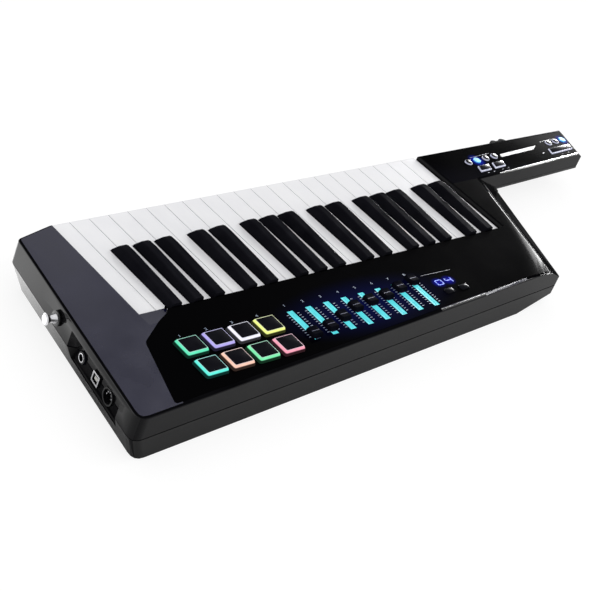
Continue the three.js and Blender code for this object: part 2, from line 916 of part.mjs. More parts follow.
// A lid with one round edge, about which it swings down.
function batteryDoor() {
  const length = batteryLength - 2 * seamGap;
  const nearY = batteryY - batteryWidth / 2 + seamGap;
  const farY = batteryY + batteryWidth / 2 - seamGap;
  const radius = doorThickness / 2;
  const low = bottomZ + seamGap;
  const corners = [
    [nearY + radius, low],
    [farY, low],
    [farY, low + doorThickness],
    [nearY + radius, low + doorThickness],
  ];
  const left = batteryX - length / 2;
  return sideways(corners, left, left + length)
    .add(barAlongX(nearY + radius, low + radius, radius, left, left + length, roundSides));
}

// Keys

const blackPattern = [
  { gap: 2, lean: -threeGroupLean },
  { gap: 3, lean: 0 },
  { gap: 4, lean: threeGroupLean },
  { gap: 6, lean: -twoGroupLean },
  { gap: 7, lean: twoGroupLean },
];

function blackCentres() {
  const centres = [];
  for (let octave = 0; octave < octaveCount; octave += 1) {
    for (const { gap, lean } of blackPattern) {
      centres.push((octave * whitesPerOctave + gap) * whitePitch + lean);
    }
  }
  return centres;
}

// The groove in which a key turns on the rail: a round seat with a narrower mouth below.
function pivotGroove(xLow, xHigh) {
  const seat = barAlongX(pivotY, pivotZ, pivotRadius + pivotClearance, xLow - 1, xHigh + 1);
  const half = pivotMouth / 2;
  const low = -keyRearDepth - overrun;
  return seat.add(block(xLow - 1, xHigh + 1, pivotY - half, pivotY + half, low, pivotZ));
}

function whiteKey(index) {
  const left = index * whitePitch + whiteSideGap / 2;
  const right = left + whitePitch - whiteSideGap;
  const lipBackY = whiteReach - keyLipThickness;
  const slopeY = panelEdgeY - keyLipThickness;
  const profile = [
    [keyRearY, -keyRearDepth],
    [keyRearY, -keyRearDrop],
    [slopeY - keyLipThickness, -keyRearDrop],
    [slopeY, 0],
    [whiteReach, 0, keyNoseRadius],
    [whiteReach, -keyLipDepth],
    [lipBackY, -keyLipDepth],
    [lipBackY, -keyTopThickness],
    [keySkirtEndY, -keyTopThickness],
    [keySkirtEndY, -keySkirtDepth],
    [slopeY, -keySkirtDepth],
    [pivotY + keyLipThickness, -keyRearDepth],
  ];
  const pocketFar = keySkirtEndY - keySkirtWall;
  const hollow = block(
    left + keySkirtWall,
    right - keySkirtWall,
    pocketFar - keyPocketLength,
    pocketFar,
    -keyLipDepth,
    -keyTopThickness,
  );
  const half = blackBaseWidth / 2 + blackSideClearance;
  const notches = blackCentres()
    .filter((x) => x + half > left && x - half < right)
    .map((x) => {
      const reach = blackReach + blackSideClearance;
      return block(x - half, x + half, keyRearY - 1, reach, -keyLipDepth, 1);
    });
  const body = sideways(profile, left, right).subtract(hollow).subtract(pivotGroove(left, right));
  return notches.reduce((key, notch) => key.subtract(notch), body);
}

// One cross-section of a black key: wide at its foot, crowned at its top.
function blackRing(x, y, height) {
  const foot = blackBaseWidth / 2;
  const topShare = Math.min(1, Math.max(0, height / blackFrontHeight));
  const shoulder = foot - (foot - blackTopWidth / 2) * topShare;
  const crown = Math.min(blackCrown, height / 2);
  return [
    [x - foot, y, -blackBaseDepth],
    [x + foot, y, -blackBaseDepth],
    [x + shoulder, y, height - crown],
    [x + shoulder - crown, y, height],
    [x - shoulder + crown, y, height],
    [x - shoulder, y, height - crown],
  ];
}

function blackKey(x) {
  const rearY = panelEdgeY + blackSideClearance;
  const brow = blackReach - blackFootRun;
  const body = loft([
    blackRing(x, rearY, blackRearHeight),
    blackRing(x, brow - blackFootRun, blackFrontHeight),
    blackRing(x, brow, blackFrontHeight - blackCrown / 2),
    blackRing(x, brow + blackFootRun / 3, blackFrontHeight - 2 * blackCrown),
    blackRing(x, blackReach, blackFootHeight),
  ]);
  const left = x - blackStemWidth / 2;
  const right = x + blackStemWidth / 2;
  const stem = [
    [keyRearY, -keyRearDepth],
    [keyRearY, -keyRearDrop],
    [rearY + blackBaseDepth, -keyRearDrop],
    [rearY + blackBaseDepth, 0],
    [brow, 0],
    [brow, -keyRearDepth],
  ];
  return body.add(sideways(stem, left, right).subtract(pivotGroove(left, right)));
}

// Key frame: a pierced plate with a guide post for each white key and the rail they turn on

function keyFrame() {
  const low = frameTopZ - frameThickness;
  const length = frameHighX - frameLowX;
  const plate = block(frameLowX, frameHighX, frameLowY, frameHighY, low, frameTopZ);
  const pitch = length / frameWindowCount;
  const windows = [];
  for (let index = 0; index < frameWindowCount; index += 1) {
    const middle = frameLowX + (index + 1 / 2) * pitch;
    const half = (pitch * frameWindowShare) / 2;
    windows.push(block(
      middle - half,
      middle + half,
      frameWindowNearY,
      frameWindowFarY,
      low - 1,
      frameTopZ + 1,
    ));
  }
  const half = pivotWallThickness / 2;
  const rail = block(frameLowX, frameHighX, pivotY - half, pivotY + half, low, pivotZ)
    .add(barAlongX(pivotY, pivotZ, pivotRadius, frameLowX, frameHighX));
  const postWidth = whitePitch - whiteSideGap - 2 * keySkirtWall - 2 * slideGap;
  const posts = [];
  for (let index = 0; index < whiteCount; index += 1) {
    const x = (index + 1 / 2) * whitePitch;
    posts.push(centredBlock(x, framePostY, postWidth, framePostLength, low, framePostTopZ));
  }
  return joined([plate.subtract(joined(windows)), rail, ...posts]);
}

// Rubber mats and keypads: a sheet under the deck with its pads or buttons standing through it

const matTop = deckFloor - seamGap;
const matLow = matTop - matThickness;

function padMat() {
  const pads = padSolids(0, matLow, padTopZ);
  const width = (padColumns - 1) * padPitchX + padWidth + 2 * matMargin;
  const depth = (padRows - 1) * padPitchY + padDepth + 2 * matMargin;
  const middleX = firstPadX + ((padColumns - 1) * padPitchX) / 2;
  const middleY = farPadY - ((padRows - 1) * padPitchY) / 2;
  return joined([centredBlock(middleX, middleY, width, depth, matLow, matTop), ...pads]);
}

function neckKeypad(group) {
  const buttons = neckButtons(group, 0, matLow, deckTop + buttonProud);
  const lowS = Math.min(group.bars[0], group.rounds[0] - roundButtonRadius) - neckMatMargin;
  const nearHighS = group.bars.at(-1) + group.barLength + neckMatMargin;
  const farHighS = Math.max(nearHighS, group.rounds.at(-1) + roundButtonRadius + neckMatMargin);
  const lowT = barRowT - neckMatMargin;
  const highT = roundRowT + roundButtonRadius + neckMatMargin;
  const corners = [[lowS, lowT], [lowS, highT], [farHighS, highT], [nearHighS, lowT]];
  return buttons.add(onNeck(prism(corners, matLow, matTop)));
}

function panelKeypad() {
  const buttons = panelButtons(0, matLow, deckTop + buttonProud);
  const width = (panelButtonCount - 1) * panelButtonPitch + panelButtonWidth + 2 * matMargin;
  const middleX = firstPanelButtonX + ((panelButtonCount - 1) * panelButtonPitch) / 2;
  const depth = panelButtonDepth + matMargin;
  return buttons.add(centredBlock(middleX, panelButtonY, width, depth, matLow, matTop));
}

function touchRibbon() {
  const low = deckTop - fasciaThickness;
  return onNeck(prism(ribbonOutline(0), low, low + ribbonThickness));
}

// Faders

const guideTop = deckFloor - seamGap;
const guideLow = guideTop - guideThickness;
const faderBodyTop = guideLow - seamGap;
const slitWidth = stemWidth + 2 * slideGap;
const slitLength = faderTravel + stemLength + 2 * seamGap;

function lightGuide() {
  const margin = matMargin;
  const width = (faderCount - 1) * faderPitch + slotWidth + 2 * margin;
  const middleX = firstFaderX + ((faderCount - 1) * faderPitch) / 2;
  const sheet = centredBlock(middleX, slotMiddleY, width, slotLength + margin, guideLow, guideTop);
  const barTop = deckTop - guideSink;
  const wide = slotWidth - 2 * holeGap;
  const long = slotLength - 2 * holeGap;
  const bars = faderPlaces.map((x) => centredBlock(x, slotMiddleY, wide, long, guideLow, barTop));
  const slits = faderPlaces.map((x) => {
    return centredBlock(x, slotMiddleY, slitWidth, slitLength, guideLow - 1, deckTop);
  });
  return joined([sheet, ...bars]).subtract(joined(slits));
}

function faderRestY(index) {
  return slotMiddleY + (faderRestShares[index] - 1 / 2) * faderTravel;
}

function faderCap(index) {
  const x = faderPlaces[index];
  const y = faderRestY(index);
  const low = deckTop + slideGap;
  const high = low + capHeight;
  const outline = roundedRectangle(x, y, capWidth, capLength, 0);
  const scoopZ = high + capScoopRadius - capScoopDepth;
  const scoop = barAlongX(y, scoopZ, capScoopRadius, x - capWidth, x + capWidth, 2 * roundSides);
  const cap = edgedPrism(outline, low, high, capTaper, capHeight / 2, 1).subtract(scoop);
  return cap.add(centredBlock(x, y, stemWidth, stemLength, faderBodyTop - stemDepth, low + capTaper));
}

// Main board with the fader bodies, the display and the three sockets

function boardCorners() {
  const inner = pocketDepth + wall + seamGap;
  const nearLeft = -nearDepthRight - boardMargin;
  const edge = (y) => leftWallX(y) + inner / Math.cos(rakeAngle);
  return [
    [edge(boardCheekY), boardCheekY],
    [bayLeft - wall - boardMargin, boardCheekY],
    [bayLeft - wall - boardMargin, boardFarY],
    [boardRightX, boardFarY],
    [boardRightX, -nearDepthRight + boardMargin],
    [0, nearLeft],
    [edge(nearLeft), nearLeft],
  ];
}

function boardSockets(low) {
  const bodies = sockets.map(({ y, width, height, isRound, bore }) => {
    const back = pocketDepth + wall + seamGap;
    const half = width / 2 + socketBodyMargin;
    const bodyLow = socketZ - height / 2 - socketBodyMargin;
    const nose = socketPlug(y, width, height, isRound, pocketDepth - socketProud, back + 1);
    const body = block(back, back + socketBodyLength, y - half, y + half, bodyLow, low);
    const front = pocketDepth - socketProud;
    const boreHeight = bore - (width - height);
    const hole = socketPlug(y, bore, boreHeight, isRound, front - 1, front + socketBoreDepth);
    return nose.add(body).subtract(hole);
  });
  return onLeftWall(joined(bodies));
}

function mainBoard() {
  const low = boardTopZ - boardThickness;
  const plate = prism(boardCorners(), low, boardTopZ);
  const faders = faderPlaces.map((x) => {
    return centredBlock(x, slotMiddleY, faderBodyWidth, slotLength, low, faderBodyTop);
  });
  const grooves = faderPlaces.map((x) => {
    const floor = faderBodyTop - stemDepth - seamGap;
    return centredBlock(x, slotMiddleY, slitWidth, slitLength, floor, faderBodyTop + 1);
  });
  const display = centredBlock(
    displayX,
    displayY,
    displayWidth - 2 * holeGap,
    displayDepth - 2 * holeGap,
    low,
    deckTop - fasciaThickness - seamGap,
  );
  return joined([plate, ...faders, display, boardSockets(boardTopZ)]).subtract(joined(grooves));
}

// Pitch wheel: a flat disc on an upright pin, with two finger bumps

function pitchWheel() {
  const low = wheelTopZ - wheelThickness;
  const bumpDistance = wheelBumpReach - wheelBumpRadius;
  const half = wheelBumpSpread / 2;
  const rise = Math.sqrt(bumpDistance ** 2 - half ** 2);
  const bumps = [-half, half].map((side) => {
    return upright(wheelX + side, wheelY + rise, wheelBumpRadius, low, wheelTopZ, 2 * roundSides);
  });
  return joined([upright(wheelX, wheelY, wheelRadius, low, wheelTopZ, 2 * roundSides), ...bumps])
    .subtract(upright(wheelX, wheelY, wheelPinRadius + holeGap, low - 1, wheelTopZ + 1));
}

// A strap button turned on its axis, its shank below zero and its head above.
function strapButton() {
  const profile = [
    [0, -strapShankLength],
    [strapShankRadius, -strapShankLength],
    [strapShankRadius, seamGap],
    [strapCollarRadius, seamGap],
    [strapCollarRadius, strapWasherRoom],
    [strapWaistRadius, (strapWasherRoom + strapReach) / 2],
    [strapHeadRadius - strapRimThickness / 2, strapReach - strapRimThickness],
    [strapHeadRadius, strapReach - strapRimThickness / 2],
    [strapHeadRadius - strapRimThickness / 2, strapReach],
    [0, strapReach],
  ];
  const points = profile.map(([radius, height]) => new THREE.Vector2(radius, height));
  const geometry = new THREE.LatheGeometry(points, roundSides);
  return solidOf(geometry.rotateX(Math.PI / 2));
}

function leftStrapButton() {
  return onLeftWall(strapButton().rotate([0, -90, 0]).translate([0, leftStrapY, leftStrapZ]));
}

function neckStrapButton() {
  const low = neckBottomZ;
  return onNeck(strapButton().rotate([180, 0, 0]).translate([neckStrapS, neckStrapT, low]));
}

// Finishes

const glossyBlack = { color: '#131316', roughness: 0.16, metalness: 0 };
const fasciaBlack = { color: '#0a0a0c', roughness: 0.08, metalness: 0 };
const keyWhite = { color: '#ececee', roughness: 0.25, metalness: 0 };
const keyBlack = { color: '#17171b', roughness: 0.35, metalness: 0 };
const rubberPale = { color: '#c9ccd2', roughness: 0.6, metalness: 0 };
const capBlack = { color: '#1b1b1f', roughness: 0.45, metalness: 0 };
const guideCyan = { color: '#6ff5f0', roughness: 0.3, metalness: 0 };
const frameGrey = { color: '#3a3a3e', roughness: 0.6, metalness: 0 };
const boardGreen = { color: '#1f4a33', roughness: 0.5, metalness: 0 };
const ribbonPale = { color: '#dcdadf', roughness: 0.4, metalness: 0 };
const nickel = { color: '#b9b9bc', roughness: 0.25, metalness: 1 };

function addPiece(group, name, solid, finish) {
  const mesh = new THREE.Mesh(geometryOf(solid), new THREE.MeshStandardMaterial(finish));
  mesh.name = name;
  group.add(mesh);
}

const keytar = new THREE.Group();
addPiece(keytar, 'top_shell', topShell(), glossyBlack);
addPiece(keytar, 'bottom_shell', bottomShell(), glossyBlack);
addPiece(keytar, 'fascia', fascia(), fasciaBlack);
addPiece(keytar, 'key_frame', keyFrame(), frameGrey);
addPiece(keytar, 'pad_mat', padMat(), rubberPale);
addPiece(keytar, 'light_guide', lightGuide(), guideCyan);
addPiece(keytar, 'main_board', mainBoard(), boardGreen);
addPiece(keytar, 'battery_door', batteryDoor(), glossyBlack);
addPiece(keytar, 'pitch_wheel', pitchWheel(), capBlack);
addPiece(keytar, 'touch_ribbon', touchRibbon(), ribbonPale);
addPiece(keytar, 'strap_button_left', leftStrapButton(), nickel);
addPiece(keytar, 'strap_button_neck', neckStrapButton(), nickel);
addPiece(keytar, 'neck_keypad_inner', neckKeypad(innerGroup), rubberPale);
addPiece(keytar, 'neck_keypad_outer', neckKeypad(outerGroup), rubberPale);
addPiece(keytar, 'panel_keypad', panelKeypad(), rubberPale);
for (let index = 0; index < whiteCount; index += 1) {
  addPiece(keytar, `white_key_${String(index + 1).padStart(2, '0')}`, whiteKey(index), keyWhite);
}
blackCentres().forEach((x, index) => {
  addPiece(keytar, `black_key_${String(index + 1).padStart(2, '0')}`, blackKey(x), keyBlack);
});
for (let index = 0; index < faderCount; index += 1) {
  addPiece(keytar, `fader_cap_${index + 1}`, faderCap(index), capBlack);
}

const bounds = new THREE.Box3().setFromObject(keytar);
const middle = bounds.getCenter(new THREE.Vector3());
keytar.position.set(-middle.x, -middle.y, -bounds.min.z);

export default keytar;
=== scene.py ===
"""Looks for a keytar that lies on its back: finishes, printed marks, lights and small hardware."""

import json
import math

import bpy
from bpy.props import FloatProperty, FloatVectorProperty, IntProperty, PointerProperty
from bpy.types import Operator, Panel, PropertyGroup
from bpy.utils import register_class, unregister_class
from mathutils import Matrix, Vector


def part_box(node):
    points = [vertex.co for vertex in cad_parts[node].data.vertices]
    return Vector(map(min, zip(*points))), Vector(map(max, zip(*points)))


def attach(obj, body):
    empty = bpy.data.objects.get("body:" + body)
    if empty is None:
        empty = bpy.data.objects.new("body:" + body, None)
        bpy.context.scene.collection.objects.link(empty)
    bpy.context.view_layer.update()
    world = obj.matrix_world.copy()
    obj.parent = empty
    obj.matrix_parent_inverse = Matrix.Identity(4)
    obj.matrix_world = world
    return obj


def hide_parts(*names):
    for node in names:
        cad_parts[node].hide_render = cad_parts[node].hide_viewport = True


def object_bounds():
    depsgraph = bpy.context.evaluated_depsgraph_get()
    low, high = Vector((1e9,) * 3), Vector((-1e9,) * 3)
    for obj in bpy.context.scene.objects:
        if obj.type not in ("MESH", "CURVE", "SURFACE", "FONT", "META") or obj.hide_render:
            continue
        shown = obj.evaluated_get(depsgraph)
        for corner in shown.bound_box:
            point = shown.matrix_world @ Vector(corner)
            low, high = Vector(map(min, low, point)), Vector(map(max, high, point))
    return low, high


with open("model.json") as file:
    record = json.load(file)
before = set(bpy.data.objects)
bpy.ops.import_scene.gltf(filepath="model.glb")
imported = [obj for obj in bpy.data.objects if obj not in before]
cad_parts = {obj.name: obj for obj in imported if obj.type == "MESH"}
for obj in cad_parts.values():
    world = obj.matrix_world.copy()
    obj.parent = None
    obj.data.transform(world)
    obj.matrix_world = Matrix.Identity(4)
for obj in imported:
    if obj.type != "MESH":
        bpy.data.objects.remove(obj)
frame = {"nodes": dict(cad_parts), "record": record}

bl_info = {
    "name": "Keytar Looks",
    "version": (1, 0, 0),
    "blender": (4, 5, 0),
    "location": "View3D > Sidebar > Keytar",
    "description": "Dresses a keytar with its finishes, printed marks, lights and small hardware",
    "category": "Object",
}

MM = 0.001
CAD_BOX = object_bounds()

# Places are counted from the cheek end of the keys, at the panel edge, level with the white
# key tops: x along the keys, y towards the key fronts, z up.
KEY_GAP = 1 * MM
KEY_REACH = 137.7 * MM
KEY_EDGE = 0.35 * MM
REST_DEPTH = 47.5 * MM
first_low, first_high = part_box("white_key_01")
rest_low, rest_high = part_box("bottom_shell")
ORIGIN = Vector((first_low.x - KEY_GAP / 2, first_high.y - KEY_REACH, rest_low.z + REST_DEPTH))
DECK = 4.5 * MM
LIFT = 0.02 * MM
INK = 0.04 * MM
LINE_WIDTH = 0.5 * MM

# Printed numbers: height of a figure as a share of its type size, and how wide it is drawn
FIGURE_SHARE = 0.7
NUMBER_WIDTH_SHARE = 1.5

# Housing: where its finishes change; most are lit and shaded copies of one ABS, which paint light
# and shade on it. A lean is the upward part of a face's normal, a side the part of it that points
# right or far.
BLOCK_LEFT = 470 * MM
ROLL_LEFT = 499 * MM
ROLL_NEAR_Y = -55 * MM
NECK_CUT = 78 * MM
ELBOW_CUT = 62 * MM
STRIP = (-38 * MM, 320 * MM)
STRIP_Y = -100 * MM
HIGHLIGHT_RIM_LEFT = 330 * MM
SEAM_Z = -20.8 * MM
SEAM_SHADOW_DROP = 0.9 * MM
SEAM_SHADOW_REACH = 1.2 * SEAM_SHADOW_DROP
RIM = 0.6 * MM
LEAN_OF_FLATS = 0.985
LEAN_OF_WALLS = 0.5
ELBOW_LEANS = (0.8, 0.95)
ELBOW_SIDE = 0.3
LEFT_SIDE = -0.8
NEAR_SIDE = -0.2
SQUARE_TO_AXIS = 0.9
SHEET_IOR = 1.032
# The sheet over the neck is a shaded copy that reflects less: painted shade.
SHADED_NECK_SHEET_IOR = 1.016
BOARD_LOW = -9.9 * MM
BOARD_HIGH = -7.9 * MM

# Pads, and the printed skin on each
PAD_COLUMNS = 4
PAD_ROWS = 2
PAD_PITCH_X = 31.6 * MM
PAD_PITCH_Y = 28.2 * MM
FIRST_PAD = (16.7 * MM, -57.3 * MM)
PAD_TOP = 9 * MM
PAD_FOOT = 6.7 * MM
PAD_FADE = 0.7 * MM
PAD_SKIN_THICKNESS = 0.35 * MM
PAD_SKIN_EDGE = 0.15 * MM
PAD_SKIN_CORNER = 1.2 * MM
PAD_NUMBER_Y = -40.6 * MM
PAD_COLOURS_FAR = ("#62e6b8", "#b3a8ee", "#f2f0ff", "#ecf68c")
PAD_COLOURS_NEAR = ("#62efdd", "#f7c6b2", "#7eebad", "#f4a0b4")

# Faders: the painted highlight line on each cap and the film under it have a width, a depth and a
# thickness
FADER_COUNT = 8
FADER_PITCH = 24.35 * MM
FIRST_FADER_X = 150.3 * MM
FADER_NUMBER_Y = -37 * MM
FIRST_TICK_Y = -50 * MM
TICK_OFFSETS = (-6.7 * MM, 7.1 * MM)
TICK_WIDTH = 0.75 * MM
CAP_SCOOP = 1.1 * MM
CAP_HIGHLIGHT = (9.6 * MM, 0.7 * MM, 0.12 * MM)
LIGHT_STOP = (6.6 * MM, 13.4 * MM, 0.2 * MM)

# Display, the line above it and the two buttons below it
DISPLAY_Y = -59 * MM
FIRST_DIGIT_X = 353 * MM
DIGIT_PITCH = 14.4 * MM
DISPLAY_LINE_LENGTH = 45 * MM
DISPLAY_LINE_PLACE = (361 * MM, -45 * MM)
DISPLAY_LINE_TURN = -1.8
FIRST_BUTTON = (353.3 * MM, -73.5 * MM)
BUTTON_COUNT = 2
BUTTON_PITCH = 22.8 * MM
BUTTON_SKIN = (11 * MM, 5.4 * MM)
BUTTON_SKIN_EDGE = 0.12 * MM
BUTTON_SKIN_CORNER = 1 * MM
SKIN_THICKNESS = 0.25 * MM
BUTTON_TOP = 5.5 * MM

# Neck: its inner near corner and how far it turns from the keys, then places along and across it.
# The margins of a bar button are near, left, far and right.
NECK_ROOT = (568 * MM, 75.8 * MM)
NECK_SLOPE = 8.9 / 213.7
ROUND_RADIUS = 4.6 * MM
ROUND_ROW = 30 * MM
ROUND_TOP_INSET = 0.6 * MM
ROUND_TOP_SHIFT = (0.5 * MM, 0.25 * MM)
RIBBON_MIDDLE = 29.2 * MM
RIBBON_PALE = 4.7 * MM
INNER_ROUNDS = (13 * MM, 29.5 * MM, 46 * MM, 62.5 * MM)
OUTER_ROUNDS = (174.5 * MM, 189.3 * MM, 204.1 * MM)
LIT_INNER = 1
LIT_OUTER = 2
BAR_ROW = 10.2 * MM
BAR_DEPTH = 9.6 * MM
BAR_LEAN_SHARE = 0.43
BAR_CORNER = 0.6 * MM
BAR_MARGINS = (1.6 * MM, 1.5 * MM, 0.3 * MM, 0.4 * MM)
INNER_BARS = (14.2 * MM, 41.9 * MM)
INNER_BAR_LENGTH = 19.8 * MM
OUTER_BAR = 157 * MM
OUTER_BAR_LENGTH = 44 * MM
NECK_SKIN_EDGE = 0.1 * MM
NECK_LINES = ((42 * MM, 37.2 * MM, 37 * MM), (176 * MM, 35.6 * MM, 26 * MM))
SPECKS = (24 * MM, 35 * MM, 52 * MM, 63 * MM, 176 * MM, 188 * MM)
SPECK_ROW = 6.6 * MM
SPECK_SIZE = (2.6 * MM, 0.9 * MM)
LENS_PLACE = (145.5 * MM, 15.4 * MM)
LENS_RADIUS = 1.5 * MM
LENS_HEIGHT = 0.5 * MM
LENS_EDGE = 0.3 * MM

# Light that shines through the sheet: middle, stretch, reach, colour and level. The lit round
# buttons of the neck have a place along it, and a reach.
PANEL_GLOWS = (
    ((352 * MM, DISPLAY_Y, DECK), (1, 1.3, 1), 11 * MM, "#1d22d8", 0.45),
    ((367 * MM, DISPLAY_Y, DECK), (1, 1.3, 1), 11 * MM, "#1d22d8", 0.45),
    ((240 * MM, -63 * MM, DECK), (0.32, 1, 1), 44 * MM, "#0a1040", 0.8),
)
# A grey painted sheen on the neck sheet beside its cut, in the same columns; no lamp lies under it.
NECK_PAINTED_SHEEN = (((530 * MM, NECK_CUT, DECK), (0.25, 1, 1), 44 * MM, "#12121a", 0.4),)
LIT_ROUNDS = ((INNER_ROUNDS[LIT_INNER], 13 * MM), (OUTER_ROUNDS[LIT_OUTER], 11 * MM))
BUTTON_GLOW = ((1, 1, 1), "#1f3ae0", 0.7)

# Left wall: its far corner, how far it rakes, and the hardware on it and in its pocket. A place
# on it is y and z; heights and depths are counted outwards from what a piece sits on.
WALL_CORNER = (-46 * MM, 123 * MM)
WALL_RAKE = 43.7 / 242.4
STRAP_PLACE = (27.5 * MM, -10.5 * MM)
COLLAR_BORE = 3.6 * MM
COLLAR_HEIGHT = 2.6 * MM
COLLAR_EDGE = 0.7 * MM
STAND_OFF = 0.05 * MM
SOCKET_Z = -22.5 * MM
POCKET_DEPTH = 9 * MM
SOCKET_PROUD = 1.6 * MM
JACK_Y = -13 * MM
NUT_RADII = (6.9 * MM, 5.75 * MM)
NUT_HEIGHT = 1.3 * MM
NUT_EDGE = 0.3 * MM
JACK_RIM_RADII = (4.3 * MM, 3.3 * MM)
JACK_RIM_HEIGHT = 0.6 * MM
JACK_RIM_EDGE = 0.2 * MM
SQUARE_Y = -41 * MM
SQUARE_SIZE = (11.8 * MM, 10.8 * MM)
SQUARE_RIM = 1.5 * MM
SQUARE_RIM_HEIGHT = 0.4 * MM
SQUARE_RIM_EDGE = 0.1 * MM
TONGUE_SIZE = (5.6 * MM, 3.4 * MM)
TONGUE_FRONT = -0.6 * MM
TONGUE_EDGE = 0.3 * MM
TONGUE_CORNER = 0.4 * MM
SOCKET_BACK = -8.8 * MM
ROUND_Y = -64 * MM
PIN_COUNT = 5
PIN_CIRCLE = 4.2 * MM
PIN_RADIUS = 0.7 * MM
PIN_FRONT = -1.5 * MM
PIN_EDGE = 0.3 * MM
PIN_STEP = 45

# Meshes: how near points merge, the bends in degrees at which faces join, edges are rounded or
# shading stays sharp, and the sides of round pieces
MERGE_DISTANCE = 0.002 * MM
FLAT_BEND = 0.3
EDGE_BEND = 40
KEY_EDGE_BEND = 28
PIECE_BEND = 35
HOUSING_BEND = 32
KEY_BEND = 30
BUTTON_BEND = 40
NUT_BEND = 25
ROUND_SIDES = 48

# Camera, solved from the perspective of the keys; its sensor and lens in millimetres
CAMERA_PLACE = (-937.908 * MM, -810.605 * MM, 857.737 * MM)
CAMERA_RIGHT = (0.69934217, -0.63505677, 0.3280601)
CAMERA_DOWN = (-0.17760443, -0.59895271, -0.78084078)
CAMERA_FORWARD = (0.69237071, 0.48780996, -0.53166178)
SENSOR_WIDTH = 36
LENS = 103.73
CLIP_START = 50 * MM

# Floor and world: a paper sheet, its size and patches in metres, and beside the left wall a pool
# of light that only gloss shows
FLOOR_SIZE = 14
FLOOR_DROP = 0.3 * MM
PAPER_PATCH = 0.4
FLOOR_WHITE = 1.1
FLOOR_WHITE_SHARE = 0.75
POOL_Y = (-30 * MM, 160 * MM)
POOL_X = (-30 * MM, 20 * MM)
POOL_STRENGTH = 2.1
WORLD_MATT_SHARE = 0.89

# Lamps: direction from the middle, distance, width and height, power, and whether a lamp lights
# matt surfaces or only shows in glossy ones. The strips beside the rolled edge fade upwards.
LAMPS = (
    ("key_softbox", (0.62, -0.30, 0.72), 2.2, (0.5, 0.4), 3, True),
    ("low_strip", (0.898, 0.395, 0.14), 2.0, (0.5, 0.24), 340, False),
    ("second_strip", (0.876, 0.405, 0.25), 2.0, (0.5, 0.16), 42, False),
    ("third_strip", (0.856, 0.415, 0.32), 2.0, (0.5, 0.12), 8, False),
    ("rim_strip", (0.8, -0.25, 0.52), 2.0, (0.5, 0.6), 5, False),
    ("low_rim_strip", (0.94, -0.12, 0.27), 2.0, (0.5, 0.4), 50, False),
    ("cheek_panel", (0.43, 0.69, 0.585), 2.27, (0.5, 0.5), 0.5, False),
)


def at(x, y, z):
    return ORIGIN + Vector((x, y, z))


def neck_matrix():
    turn = Matrix.Rotation(math.atan(NECK_SLOPE), 4, "Z")
    return Matrix.Translation(at(*NECK_ROOT, DECK)) @ turn


def wall_matrix(y, z, depth=0.0):
    """A frame on the left wall: x runs along it away from the key fronts, y up, z out of it."""
    turn = Matrix.Rotation(-math.atan(WALL_RAKE), 4, "Z")
    place = turn @ Vector((depth, y - WALL_CORNER[1], 0)) + Vector((*WALL_CORNER, z))
    axes = Matrix(((0, 0, -1), (-1, 0, 0), (0, 1, 0))).to_4x4()
    return Matrix.Translation(ORIGIN + place) @ turn @ axes


# Colours and shader nodes. The first socket that a function is given says which tree it adds to.


def to_linear(code):
    parts = [int(code[start:start + 2], 16) / 255 for start in (1, 3, 5)]
    line = [part / 12.92 if part <= 0.04045 else ((part + 0.055) / 1.055) ** 2.4 for part in parts]
    return (*line, 1)


def add_node(tree, kind, inputs=None, **settings):
    """Adds a node, sets its settings, and fills or links its sockets; a text is a colour code."""
    node = tree.nodes.new(kind)
    for key, value in settings.items():
        setattr(node, key, value)
    for key, value in (inputs or {}).items():
        if isinstance(value, bpy.types.NodeSocket):
            tree.links.new(value, node.inputs[key])
        else:
            node.inputs[key].default_value = to_linear(value) if isinstance(value, str) else value
    return node


def start_material(name):
    material = bpy.data.materials.new(name)
    material.use_nodes = True
    tree = material.node_tree
    tree.nodes.clear()
    return material, add_node(tree, "ShaderNodeTexCoord").outputs["Object"]


def finish_material(material, inputs):
    tree = material.node_tree
    shader = add_node(tree, "ShaderNodeBsdfPrincipled", inputs)
    add_node(tree, "ShaderNodeOutputMaterial", {"Surface": shader.outputs["BSDF"]})
    return material


def noise(place, size, detail=2.0):
    """A noise whose patches are about `size` metres across."""
    inputs = {"Vector": place, "Scale": 1 / size, "Detail": detail}
    return add_node(place.id_data, "ShaderNodeTexNoise", inputs).outputs["Fac"]


def spread(value, low, high, start=0.3, end=0.7, **settings):
    """Stretches what lies between start and end to the values from low to high."""
    inputs = {"Value": value, "From Min": start, "From Max": end, "To Min": low, "To Max": high}
    return add_node(value.id_data, "ShaderNodeMapRange", inputs, **settings).outputs["Result"]


def bump(height, depth, strength=1.0):
    inputs = {"Height": height, "Distance": depth, "Strength": strength}
    return add_node(height.id_data, "ShaderNodeBump", inputs).outputs["Normal"]


def blend_colours(factor, first, second, mode="MIX"):
    sockets = (value for value in (factor, first, second) if isinstance(value, bpy.types.NodeSocket))
    inputs = {0: factor, 6: first, 7: second}
    tree = next(sockets).id_data
    return add_node(tree, "ShaderNodeMix", inputs, data_type="RGBA", blend_type=mode).outputs[2]


def shaded(colour, share):
    """A colour times a share, or times another colour."""
    return blend_colours(1.0, colour, share, "MULTIPLY")


def mottled(value, first, second, *limits):
    """Two colours, given as codes, that a noise mixes in patches."""
    return blend_colours(spread(value, 0, 1, *limits), first, second)


def vectors(operation, first, second=(0, 0, 0), output="Value"):
    """What comes out of two vectors: a number, or with the output named so, a vector."""
    inputs = {0: first, 1: second}
    return add_node(first.id_data, "ShaderNodeVectorMath", inputs, operation=operation).outputs[output]


def calculate(operation, first, second=0.0):
    node = add_node(first.id_data, "ShaderNodeMath", {0: first, 1: second}, operation=operation)
    return node.outputs["Value"]


def axis_of(place, axis):
    return add_node(place.id_data, "ShaderNodeSeparateXYZ", {"Vector": place}).outputs[axis]


